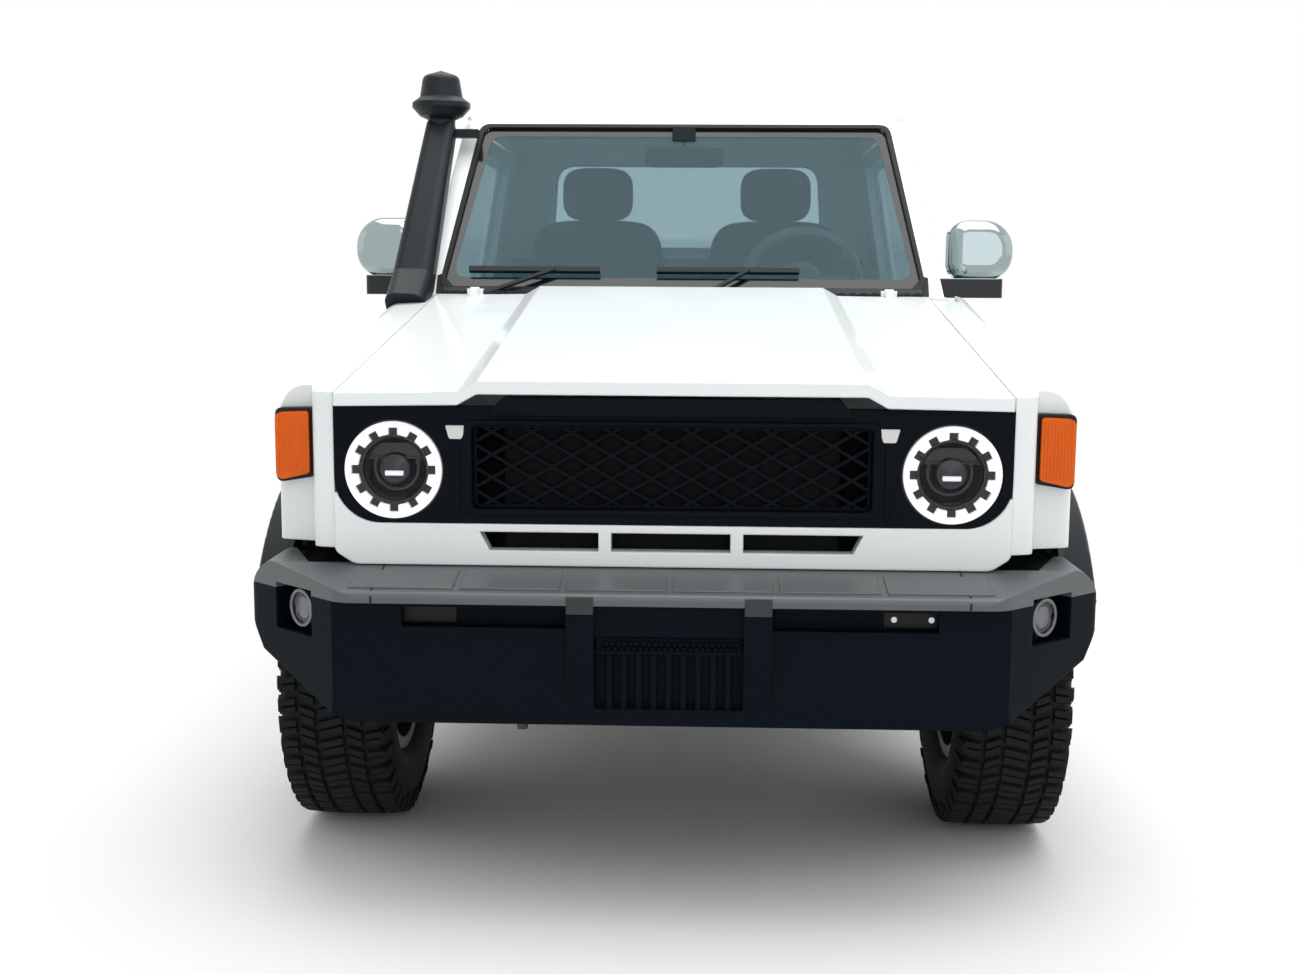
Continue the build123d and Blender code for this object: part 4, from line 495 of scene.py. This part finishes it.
def on_side(y, z, out):
    """Point on the left door's glass: along, up, and out from it."""
    share = (z - SIDE_BELT[1]) / (SIDE_RAIL[1] - SIDE_BELT[1])
    return (SIDE_BELT[0] + share * (SIDE_RAIL[0] - SIDE_BELT[0]) + out, y, z)


bag = Bag()
pane_out = rounded([(744, 1292, 20), (1004, 1720, 30), (1661, 1720, 36), (1661, 1292, 20)])
pane_in = rounded([(770, 1304, 18), (1016, 1706, 26), (1647, 1706, 30), (1647, 1304, 18)])
frame_strip(bag, pane_out, pane_in, on_side, -9.5, 3)
bag.box(744, 752, 744, 1662, 1276, 1292)
bag.box(752, 757, 700, 1700, 1278, 1286)
bag.make("door_seal", "left_door", rubber, bevel=1.2, mirror="right_door")

# Cowl: a black strip with ribs under the windscreen, and rubber corners at the screen's foot
COWL_RIBS = 44
CORNER = ((690, -4), (690, 60), (676, 66), (640, 22), (640, -4))
bag = Bag()
bag.prism([(548, 1292.5), (568, 1293), (578, 1310), (574, 1312), (562, 1300), (548, 1299)], "x", -672, 672)
for i in range(COWL_RIBS):
    x = -640 + i * 30
    bag.box(x, x + 14, 549, 562, 1298, 1302.5)
bag.make("cowl_strip", "chassis", black_trim, bevel=1)
bag = Bag()
for side in (-1, 1):
    bag.loft([[on_screen(side * x, v, out) for x, v in CORNER] for out in (1, -6)])
bag.make("screen_corners", "chassis", rubber)

# Interior mirror on its stalk, sun visors and the screen's sensor cover
bag = Bag()
bag.prism(rounded([(-118, 1664, 24), (-112, 1722, 24), (112, 1722, 24), (118, 1664, 24)]), "y", 872, 890)
bag.rod((0, 880, 1716), (0, 862, 1762), 16)
bag.box(-34, 34, 846, 884, 1738, 1782)
bag.make("cabin_mirror", "chassis", black_trim, bevel=3)
bag = Bag()
for x0, x1 in both_sides(90, 500):
    bag.prism(rounded([(905, 1796, 6), (925, 1802, 6), (1052, 1836, 6), (1052, 1822, 6)]), "x", x0, x1)
bag.make("sun_visors", "chassis", lining, bevel=3)

# Headlamps: bezel and bright bar in each bowl, under a clear cover
LAMP_X, LAMP_Z, NOSE = 570.0, 947.0, -655.0
LAMP_CENTRE = (LAMP_X, NOSE, LAMP_Z)
LAMP_STEPS = 48
BEZEL_R = 64
BEZEL_BARS = ((-66, -60, 20), (20, 25, math.sqrt(BEZEL_R ** 2 - 25 ** 2)))
bag = Bag()
bag.lathe([(14, 72), (14, 66), (40, 58), (40, 62), (16, 72)], LAMP_CENTRE, "y", LAMP_STEPS)
for z0, z1, half in BEZEL_BARS:
    bag.box(LAMP_X - half, LAMP_X + half, NOSE + 22, NOSE + 32, LAMP_Z + z0, LAMP_Z + z1)
bag.prism([(LAMP_X - 60, LAMP_Z + 25), (LAMP_X + 60, LAMP_Z + 25), (LAMP_X + 34, LAMP_Z + 54),
           (LAMP_X - 34, LAMP_Z + 54)], "y", NOSE + 26, NOSE + 34)
bag.make("lamp_bezels", "chassis", lamp_bowl, bevel=1, mirror="chassis")
bag = Bag()
bag.box(LAMP_X - 19, LAMP_X + 19, NOSE + 9.5, NOSE + 14.5, LAMP_Z - 13, LAMP_Z - 3)
bag.make("lamp_bars", "chassis", lamp_white, bevel=1, mirror="chassis")
bag = Bag()
bag.lathe([(5, 0), (5.5, 40), (7, 72.5), (9, 72.5), (7.5, 40), (7, 0)], LAMP_CENTRE, "y", LAMP_STEPS)
bag.make("lamp_covers", "chassis", lens_clear, mirror="chassis")

# Small white park lamps beside the mesh, and the panel's raised rim round the mesh
bag = Bag()
bag.prism(rounded([(418, 1040, 3), (462, 1040, 3), (454, 1012, 6), (428, 1012, 6)]), "y", NOSE - 3, NOSE + 4)
bag.make("park_lamps", "chassis", lens_white, bevel=1.5, mirror="chassis")
bag = Bag()
rim_out = rounded([(424, 856, 20), (424, 1052, 20), (-424, 1052, 20), (-424, 856, 20)])
rim_in = rounded([(409, 867, 13), (409, 1041, 13), (-409, 1041, 13), (-409, 867, 13)])
frame_strip(bag, rim_out, rim_in, lambda u, v, out: (u, NOSE - out, v), -1, 5)
for x0, x1 in both_sides(432, 446):
    bag.box(x0, x1, NOSE - 3.5, NOSE + 1, 856, 1004)
bag.make("grille_rim", "chassis", grille_black, bevel=2)

# Painted shade: a dark sheet behind the grille's mesh and vents, standing in for the shade inside the nose
bag = Bag()
bag.box(-500, 500, -612, -608, 772, 1060)
bag.make("grille_shade_sheet", "chassis", painted_shade_black)

# Black housings round the turn lamps and ribs on their lenses
TURN_INNER_X, TURN_FACE, TURN_SWEEP = 754, -574, 0.27
TURN_RIBS = 9
bag = Bag()
turn_out = rounded([(748, 924, 10), (748, 1070, 10), (834, 1066, 16), (834, 908, 16)])
turn_in = rounded([(757, 933, 8), (757, 1061, 8), (825, 1057, 14), (825, 917, 14)])
frame_strip(bag, turn_out, turn_in,
            lambda u, v, out: (u, TURN_FACE + (u - TURN_INNER_X) * TURN_SWEEP - out, v), -8, 24)
bag.make("turn_housings", "chassis", black_trim, bevel=2, mirror="chassis")
bag = Bag()
for i in range(TURN_RIBS):
    x = 762 + i * 7
    bag.box(x, x + 3.5, -607.5, -604, 934 - (i > 6) * 2, 1056)
bag.make("turn_ribs", "chassis", lamp_amber, bevel=1, mirror="chassis")

# Bumper: pads on the shelf and caps on the ribs in a lighter grey that is painted light, seams, mesh row,
# sensor dots, and dark slot backs that are painted shade
BUMPER_FACE = -800
SHELF_DEPTH = 155
SHELF_FRONT_Z, SHELF_BACK_Z = 722, 752
SHELF_PADS = [(-640, -430), (-418, -218), (-206, -6), (6, 206), (218, 418), (430, 640)]
PAD_SECTION = ((-782, -1), (-782, 3), (-690, 3), (-690, -1))
SEAM_SECTION = ((-792, -1), (-792, 1), (-650, 1), (-650, -1))
SEAM_X, SEAM_HALF_W = 590, 2
RIB_X, RIB_HALF_W = 176, 27
SLOT_X, SLOT_HALF_W = 488, 62
MESH_COUNT, MESH_PITCH, MESH_ROW_RISE = 22, 12.4, 11


def on_shelf(section):
    """Points (y, z) on the sloping shelf, from (y, height over the shelf) rows."""
    slope = SHELF_BACK_Z - SHELF_FRONT_Z
    return [(y, SHELF_FRONT_Z + slope * (y - BUMPER_FACE) / SHELF_DEPTH + up) for y, up in section]


bag = Bag()
for x0, x1 in SHELF_PADS:
    bag.prism(on_shelf(PAD_SECTION), "x", x0, x1)
bag.make("bumper_pads", "chassis", shelf_painted_light, bevel=2)
bag = Bag()
for x0, x1 in both_sides(SEAM_X - SEAM_HALF_W, SEAM_X + SEAM_HALF_W):
    bag.box(x0, x1, BUMPER_FACE - 0.6, BUMPER_FACE + 4, 697, 714)
    bag.prism(on_shelf(SEAM_SECTION), "x", x0, x1)
bag.make("bumper_seams", "chassis", rubber)
bag = Bag()
for x0, x1 in both_sides(RIB_X - RIB_HALF_W, RIB_X + RIB_HALF_W):
    bag.box(x0, x1, BUMPER_FACE - 2, BUMPER_FACE + 5, 682, 717)
bag.make("bumper_ribs", "chassis", rib_painted_light, bevel=1)
bag = Bag()
for row in range(2):
    z = 610 + row * MESH_ROW_RISE
    for i in range(MESH_COUNT):
        x = -136 + i * MESH_PITCH + row * 6.2
        bag.prism([(x, z), (x + 5, z + 5), (x + 10, z), (x + 5, z - 5)], "y", -785, -776)
bag.box(-146, 146, -778, -770, 600, 632)
bag.make("bumper_mesh", "chassis", bumper_black)
bag = Bag()
for x in (446, 520):
    bag.lathe([(0, 0), (0, 6), (8, 6), (8, 0)], (x, -760, 671), "y", 16)
bag.make("bumper_sensors", "chassis", bright_steel)
# Dark backs in the bumper's slots: painted shade in the recesses.
bag = Bag()
for x0, x1 in both_sides(SLOT_X - SLOT_HALF_W, SLOT_X + SLOT_HALF_W):
    bag.box(x0, x1, -757, -752, 654, 686)
bag.make("bumper_slot_shade", "chassis", rubber, bevel=1)


# Seats: padded cushions and backrests with sewn channels, headrests on posts, and plain bases
SEAT_X = 312
CHANNEL_DEPTH, CHANNEL_WIDTH = 9, 9


def pillow(name, centre, size, tilt, channels, fullness=5.0, cells=26):
    """Stuffed block: crowned faces, pulled-in edges and channels across the given places."""
    work = bmesh.new()
    bmesh.ops.create_cube(work, size=2)
    bmesh.ops.subdivide_edges(work, edges=work.edges[:], cuts=cells, use_grid_fill=True)
    half = [s / 2 for s in size]
    turn = Matrix.Rotation(math.radians(tilt), 3, "X")
    face = 2 if size[1] > size[2] else 1
    for vert in work.verts:
        p = vert.co.copy()
        norm = sum(abs(c) ** fullness for c in p) ** (1 / fullness)
        p = p / norm
        q = Vector([p[i] * half[i] for i in range(3)])
        front = max(0.0, p[face] if face == 2 else -p[face])
        for place in channels:
            dent = CHANNEL_DEPTH * math.exp(-((q.x - place) / CHANNEL_WIDTH) ** 2) * front
            q[face] -= dent if face == 2 else -dent
        vert.co = metres(Vector(centre) + turn @ q)
    mesh = bpy.data.meshes.new(name)
    work.to_mesh(mesh)
    work.free()
    mesh.polygons.foreach_set("use_smooth", [True] * len(mesh.polygons))
    mesh.materials.append(seat_cloth)
    obj = bpy.data.objects.new(name, mesh)
    bpy.context.collection.objects.link(obj)
    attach(obj, "chassis")
    return obj


bag = Bag()
for side, word in ((1, "left"), (-1, "right")):
    x = side * SEAT_X
    cushion = pillow("cushion_" + word, (x, 1325, 922), (468, 498, 150), -3, (-135, -45, 45, 135))
    pillow("backrest_" + word, (x, 1652, 1238), (468, 132, 600), -12, (-130, 130))
    pillow("headrest_" + word, (x, 1724, 1628), (246, 92, 184), -3, (), fullness=3.6, cells=18)
    if side > 0:
        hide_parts("seats")
    bag.box(x - 200, x + 200, 1120, 1580, 700, 852)
    for dx in (-170, 140):
        bag.box(x + dx, x + dx + 30, 1090, 1640, 680.3, 702)
    bag.box(x - 238, x - 214, 1480, 1660, 880, 960)
bag.make("seat_bases", "chassis", black_trim, bevel=4)
bag = Bag()
for side in (-1, 1):
    for dx in (-50, 50):
        bag.rod((side * SEAT_X + dx, 1716, 1500), (side * SEAT_X + dx, 1724, 1560), 12)
bag.make("headrest_posts", "chassis", bright_steel)

# Dashboard fittings: binnacle, screens, vents, knobs, glove box, levers, pedals and steering wheel boss
VENTS_X = (-560, -200, 200, 560)
bag = Bag()
bag.prism(rounded([(232, 1245, 10), (240, 1318, 36), (504, 1318, 36), (512, 1245, 10)]), "y", 860, 985)
bag.prism(rounded([(-150, 1248, 10), (-140, 1276, 16), (140, 1276, 16), (150, 1248, 10)]), "y", 880, 992)
bag.prism([(985, 1060), (1001, 1100), (1003, 1178), (990, 1178)], "x", -600, -230)
bag.make("dash_hoods", "chassis", cabin_plastic, bevel=4)
bag = Bag()
bag.prism(rounded([(248, 1252, 8), (256, 1306, 28), (488, 1306, 28), (496, 1252, 8)]), "y", 984, 989)
bag.prism(rounded([(-120, 1122, 6), (-120, 1232, 6), (120, 1232, 6), (120, 1122, 6)]), "y", 994, 1006)
for x in VENTS_X:
    bag.box(x - 56, x + 56, 984, 1004, 1192, 1234)
bag.make("dash_screens", "chassis", screen_tint, bevel=2)
bag = Bag()
for x in VENTS_X:
    for i in range(4):
        bag.box(x - 52, x + 52, 1000, 1007, 1197 + i * 9.5, 1200 + i * 9.5)
for i in range(5):
    bag.lathe([(0, 0), (0, 15), (10, 14), (12, 10), (12, 0)], (-84 + i * 42, 996, 1096), "y", 16)
bag.make("dash_slats", "chassis", cabin_plastic)
bag = Bag()
for x, y, z, tip in ((0, 985, 800, (10, 1060, 1080)), (-60, 1000, 800, (-64, 1056, 1000))):
    bag.rod((x, y, z), tip, 14)
    bag.lathe([(-22, 0), (-20, 16), (0, 24), (20, 20), (24, 0)], tip, "z", 16)
for x in (300, 380, 450):
    bag.rod((x, 640, 960), (x, 700, 800), 12)
    bag.box(x - 30, x + 30, 690, 712, 770, 830)
boss_turn = Matrix.Translation((372, 1160, 1335)) @ Matrix.Rotation(math.radians(-62), 4, "X")
bag.lathe([(0, 0), (0, 58), (18, 52), (24, 30), (24, 0)], (0, 0, 0), "z", 24, turn=boss_turn)
bag.make("levers", "chassis", black_trim, bevel=1.5)

# Cabin lining: headliner, back panel and door cards with pulls and winders
bag = Bag()
bag.prism([(1040, 1848), (1040, 1852), (1800, 1852), (1800, 1848)], "x", -530, 530)
bag.box(-640, 640, 1890, 1896, 760, 1410)
bag.make("headliner", "chassis", lining)
bag = Bag()
bag.prism(rounded([(716, 740, 30), (716, 1240, 30), (1652, 1240, 30), (1652, 740, 30)]), "x", 731, 739.5)
bag.box(704, 731, 1120, 1500, 1020, 1062)
bag.make("door_card", "left_door", cabin_plastic, bevel=4, mirror="right_door")
bag = Bag()
bag.box(712, 731, 1180, 1320, 1110, 1134)
bag.rod((731, 1010, 960), (700, 1010, 960), 30)
bag.rod((704, 1010, 960), (698, 1090, 930), 14)
bag.make("door_winder", "left_door", black_trim, bevel=2, mirror="right_door")

# Roof drip rails, door locks, side repeaters and the filler flap
DRIP_PATH = ((640, 900, 1808), (640, 1000, 1813), (640, 1860, 1813), (636, 1925, 1806))
bag = Bag()
for side in (-1, 1):
    bag.sweep([(side * x, y, z) for x, y, z in DRIP_PATH], 12)
bag.make("drip_rails", "chassis", white_paint)
bag = Bag()
bag.lathe([(800, 0), (800, 13), (809, 13), (809, 0)], (0, 1672, 1182), "x", 20)
bag.make("door_lock", "left_door", bright_steel, mirror="right_door")
bag = Bag()
bag.prism(rounded([(430, 958, 8), (430, 986, 8), (492, 986, 8), (492, 958, 8)]), "x", 846, 858)
bag.make("side_repeaters", "chassis", lamp_amber, bevel=3, mirror="chassis")
bag = Bag()
bag.prism(rounded([(2140, 985, 24), (2140, 1150, 24), (2305, 1150, 24), (2305, 985, 24)]), "x", 844, 847.5)
bag.make("filler_flap", "chassis", white_paint, bevel=1.5)

# Bed: floor ribs, swage lines along the sides, rope hooks and rings on the floor
BED_RIBS, BED_RIB_PITCH = 13, 90
HOOKS_Y = (2260, 2760, 3400, 3940)
HOOK_PATH = ((843, -34, 1140), (862, -34, 1134), (868, -24, 1128), (868, 24, 1128), (862, 34, 1134),
             (843, 34, 1140))
RINGS_Y, RING_X, RING_FOOT_Z, RING_R = (2300, 4050), 560, 834, 26
bag = Bag()
for i in range(BED_RIBS):
    x = -540 + i * BED_RIB_PITCH
    bag.prism([(x - 22, 829), (x - 14, 838), (x + 14, 838), (x + 22, 829)], "y", 2062, 4268)
bag.make("bed_ribs", "chassis", white_paint)
bag = Bag()
for side in (-1, 1):
    for z in (1176, 1196):
        bag.sweep([(side * 845, 2020, z), (side * 845, 4320, z)], 9, steps=6)
bag.make("bed_swage", "chassis", white_paint)
bag = Bag()
for side in (-1, 1):
    for hook_y in HOOKS_Y:
        bag.sweep([(side * x, hook_y + y, z) for x, y, z in HOOK_PATH], 11)
half_turn = [math.pi * i / 8 for i in range(9)]
for ring_y in RINGS_Y:
    for side in (-1, 1):
        bag.sweep([(side * RING_X, ring_y + RING_R * math.cos(t), RING_FOOT_Z + RING_R * math.sin(t))
                   for t in half_turn], 9)
bag.make("rope_hooks", "chassis", chassis_black)

# Tail: gate handle on its plate, lamp segments, reflectors and step treads
LAMP_IN_X, LAMP_OUT_X = 800, 840
bag = Bag()
bag.prism(rounded([(-78, 1183, 8), (-78, 1227, 8), (78, 1227, 8), (78, 1183, 8)]), "y", 4326, 4331)
bag.prism(rounded([(-60, 1206, 8), (-60, 1224, 8), (60, 1224, 8), (60, 1206, 8)]), "y", 4329, 4344)
bag.make("gate_handle", "gate", black_trim, bevel=3)
bag = Bag()
for x0, x1 in both_sides(LAMP_IN_X, LAMP_OUT_X):
    bag.box(x0, x1, 4369, 4374, 1100, 1172)
bag.make("tail_turn", "chassis", lamp_amber, bevel=2)
bag = Bag()
for x0, x1 in both_sides(LAMP_IN_X, LAMP_OUT_X):
    bag.box(x0, x1, 4369, 4374, 940, 990)
bag.make("tail_reverse", "chassis", lens_white, bevel=2)
bag = Bag()
for x0, x1 in both_sides(LAMP_IN_X - 6, LAMP_OUT_X + 6):
    for z in (995, 1095):
        bag.box(x0, x1, 4368, 4375, z - 4, z + 4)
    for i in range(12):
        bag.box(x0 + 6, x1 - 6, 4370, 4373.5, 1002 + i * 7.5, 1006 + i * 7.5)
bag.make("tail_bars", "chassis", lamp_red)
bag = Bag()
for x0, x1 in both_sides(560, 680):
    bag.box(x0, x1, 4428, 4433, 640, 676)
bag.make("reflectors", "chassis", lamp_red, bevel=2)
bag = Bag()
for side in (-1, 1):
    for i in range(9):
        x = side * (240 + i * 62)
        bag.box(x - 22, x + 22, 4362, 4420, 738, 743)
bag.make("step_tread", "chassis", rubber, bevel=1.5)

# Under the body: shock absorbers, axle bolts and exhaust bands
SHOCKS = (
    # foot, top of the body, top of the rod
    ((300, 3120, 330), (315, 3058, 470), (330, 2990, 620)),
    ((470, 110, 330), (458, 130, 460), (445, 150, 600)),
)
SHOCK_ROD_D, SHOCK_BODY_D = 34, 48
AXLE_BOLTS = 10
COVERS = ((185, -137, 116), (0, 3330, 126))
bag = Bag()
for side in (-1, 1):
    for shock in SHOCKS:
        foot, body_top, rod_top = [(side * x, y, z) for x, y, z in shock]
        bag.rod(foot, rod_top, SHOCK_ROD_D)
        bag.rod(foot, body_top, SHOCK_BODY_D)
bag.make("shock_absorbers", "chassis", chassis_black)
bag = Bag()
for i in range(AXLE_BOLTS):
    t = 2 * math.pi * i / AXLE_BOLTS
    for x, y, r in COVERS:
        back = 4 if y > 0 else -4
        bolt_x, bolt_z = x + r * math.cos(t), TYRE_R + r * math.sin(t)
        bag.rod((bolt_x, y - back, bolt_z), (bolt_x, y + back, bolt_z), 16, steps=6)
bag.make("axle_bolts", "chassis", bright_steel)
bag = Bag()
for y in (1660, 1700, 2300, 2340):
    bag.lathe([(-9, 94), (-9, 98), (9, 98), (9, 94)], (-230, y, 480), "y", 40)
bag.make("exhaust_bands", "chassis", exhaust_steel)

# Fog lamps: grey rim and reflector under a clear lens, square to the bumper's swept corners
fog_turn = Matrix.Translation((772, -695, 662)) @ Matrix.Rotation(math.radians(41.9), 4, "Z")
bag = Bag()
bag.lathe([(16, 33), (16, 40), (25, 42), (25, 33)], (0, 0, 0), "y", 36, turn=fog_turn)
bag.lathe([(20, 0), (20, 8), (23, 24), (25, 24), (25, 0)], (0, 0, 0), "y", 28, turn=fog_turn)
bag.make("fog_rims", "chassis", rim_grey, bevel=1, mirror="chassis")
bag = Bag()
bag.lathe([(11, 0), (13, 20), (17.5, 33), (19, 33), (15, 20), (13, 0)], (0, 0, 0), "y", 36, turn=fog_turn)
bag.make("fog_lenses", "chassis", lens_clear, mirror="chassis")

# Door mirrors: reflecting pane in a black rim on the shell's rear face
MIRROR_BACK = 800
pane_out = rounded([(774, 1352, 40), (774, 1504, 44), (946, 1504, 76), (946, 1352, 66)])
pane_in = rounded([(784, 1362, 34), (784, 1494, 38), (936, 1494, 68), (936, 1362, 58)])
bag = Bag()
frame_strip(bag, pane_out, pane_in, lambda u, v, out: (u, MIRROR_BACK + out, v), -1, 4)
bag.make("mirror_rims", "left_door", black_trim, bevel=1, mirror="right_door")
bag = Bag()
bag.prism(pane_in, "y", MIRROR_BACK - 1, MIRROR_BACK + 1.5)
bag.make("mirror_panes", "left_door", bright_pane, mirror="right_door")


# Stage: pale floor that turns white away from the truck, and is open from below
FLOOR_COLOR = (0.78, 0.78, 0.78)
FLOOR_HALF_W = 60
FADE_START, FADE_END = 2.0, 3.6


def seen_by_eye(nodes, links, path):
    """One for a ray that the eye follows, straight, by reflection or through glass, and nought for light."""
    value = path.outputs["Is Camera Ray"]
    for ray in ("Is Glossy Ray", "Is Transmission Ray"):
        either = nodes.new("ShaderNodeMath")
        either.operation = "MAXIMUM"
        links.new(value, either.inputs[0])
        links.new(path.outputs[ray], either.inputs[1])
        value = either.outputs["Value"]
    return value


floor_mat = material("floor", FLOOR_COLOR, 0.85, vary=0.005, shine=0.0)
nodes, links = floor_mat.node_tree.nodes, floor_mat.node_tree.links
place = nodes.new("ShaderNodeTexCoord")
reach = nodes.new("ShaderNodeVectorMath")
reach.operation = "LENGTH"
links.new(place.outputs["Object"], reach.inputs[0])
fade = nodes.new("ShaderNodeMapRange")
fade.interpolation_type = "SMOOTHSTEP"
fade.inputs["From Min"].default_value = FADE_START
fade.inputs["From Max"].default_value = FADE_END
links.new(reach.outputs["Value"], fade.inputs["Value"])
white = nodes.new("ShaderNodeEmission")
blend = nodes.new("ShaderNodeMixShader")
path = nodes.new("ShaderNodeLightPath")
direct = nodes.new("ShaderNodeMath")
direct.operation = "MULTIPLY"
links.new(fade.outputs["Result"], direct.inputs[0])
links.new(seen_by_eye(nodes, links, path), direct.inputs[1])
links.new(direct.outputs["Value"], blend.inputs["Fac"])
links.new(nodes["Principled BSDF"].outputs["BSDF"], blend.inputs[1])
links.new(white.outputs["Emission"], blend.inputs[2])
back = nodes.new("ShaderNodeNewGeometry")
from_below = nodes.new("ShaderNodeMath")
from_below.operation = "MULTIPLY"
links.new(back.outputs["Backfacing"], from_below.inputs[0])
links.new(path.outputs["Is Camera Ray"], from_below.inputs[1])
open_floor = nodes.new("ShaderNodeMixShader")
links.new(from_below.outputs["Value"], open_floor.inputs["Fac"])
links.new(blend.outputs["Shader"], open_floor.inputs[1])
links.new(nodes.new("ShaderNodeBsdfTransparent").outputs["BSDF"], open_floor.inputs[2])
links.new(open_floor.outputs["Shader"], nodes["Material Output"].inputs["Surface"])
mesh = bpy.data.meshes.new("floor")
floor_corners = [(x * FLOOR_HALF_W, y * FLOOR_HALF_W, 0) for x, y in ((-1, -1), (1, -1), (1, 1), (-1, 1))]
mesh.from_pydata(floor_corners, [], [(0, 1, 2, 3)])
mesh.materials.append(floor_mat)
floor = bpy.data.objects.new("floor", mesh)
bpy.context.collection.objects.link(floor)

# World: white to the eye, and a soft light that grows from the horizon up
SKY_LOW, SKY_HIGH, SKY_TOP = 0.26, 0.8, 0.55
world = bpy.data.worlds.new("studio")
bpy.context.scene.world = world
world.use_nodes = True
nodes, links = world.node_tree.nodes, world.node_tree.links
place = nodes.new("ShaderNodeTexCoord")
parts = nodes.new("ShaderNodeSeparateXYZ")
links.new(place.outputs["Generated"], parts.inputs["Vector"])
sky = nodes.new("ShaderNodeMapRange")
sky.inputs["From Min"].default_value = 0.0
sky.inputs["From Max"].default_value = SKY_TOP
sky.inputs["To Min"].default_value = SKY_LOW
sky.inputs["To Max"].default_value = SKY_HIGH
links.new(parts.outputs["Z"], sky.inputs["Value"])
light_path = nodes.new("ShaderNodeLightPath")
strength = nodes.new("ShaderNodeMix")
strength.inputs["B"].default_value = 1.0
links.new(seen_by_eye(nodes, links, light_path), strength.inputs["Factor"])
links.new(sky.outputs["Result"], strength.inputs["A"])
back = nodes["Background"]
back.inputs["Color"].default_value = (1, 1, 1, 1)
links.new(strength.outputs["Result"], back.inputs["Strength"])


# Lamps: one large soft light above and weak fills all round
def area_light(name, where, toward, size, power):
    lamp = bpy.data.lights.new(name, "AREA")
    lamp.shape = "RECTANGLE"
    lamp.size, lamp.size_y = size
    lamp.energy = power
    obj = bpy.data.objects.new(name, lamp)
    obj.location = where
    obj.rotation_euler = (Vector(toward) - Vector(where)).to_track_quat("-Z", "Y").to_euler()
    bpy.context.collection.objects.link(obj)


area_light("overhead", (0.4, -0.8, 6.0), (0, 0, 0.6), (6, 8), 430)
area_light("front_fill", (1.5, -9.0, 3.2), (0, -1.5, 0.9), (7, 4), 70)
area_light("left_fill", (7.5, -1.0, 3.4), (0, 0, 0.9), (8, 4), 25)
area_light("right_fill", (-7.5, -1.0, 3.4), (0, 0, 0.9), (8, 4), 20)
area_light("rear_fill", (0.0, 9.0, 3.6), (0, 1.5, 0.9), (7, 4), 30)

# Camera where the photograph was taken
CAMERA_PLACE = (0.060, -5.550, 1.340)
FOCAL_PX, PHOTO_W_PX, SENSOR_W = 1525, 1300, 36
yaw, pitch, roll = math.radians(-1.92), math.radians(-7.81), math.radians(0.35)
forward = Vector((math.sin(yaw) * math.cos(pitch), math.cos(yaw) * math.cos(pitch), math.sin(pitch)))
right = Vector((math.cos(yaw), -math.sin(yaw), 0))
up = right.cross(forward)
turned_right = right * math.cos(roll) + up * math.sin(roll)
turned_up = up * math.cos(roll) - right * math.sin(roll)
camera_data = bpy.data.cameras.new("camera")
camera_data.sensor_width = SENSOR_W
camera_data.lens = FOCAL_PX / PHOTO_W_PX * SENSOR_W
camera = bpy.data.objects.new("camera", camera_data)
bpy.context.collection.objects.link(camera)
camera_turn = Matrix((turned_right, turned_up, -forward)).transposed().to_4x4()
camera.matrix_world = Matrix.Translation(CAMERA_PLACE) @ camera_turn
scene = bpy.context.scene
scene.camera = camera
scene.view_settings.view_transform = "Standard"
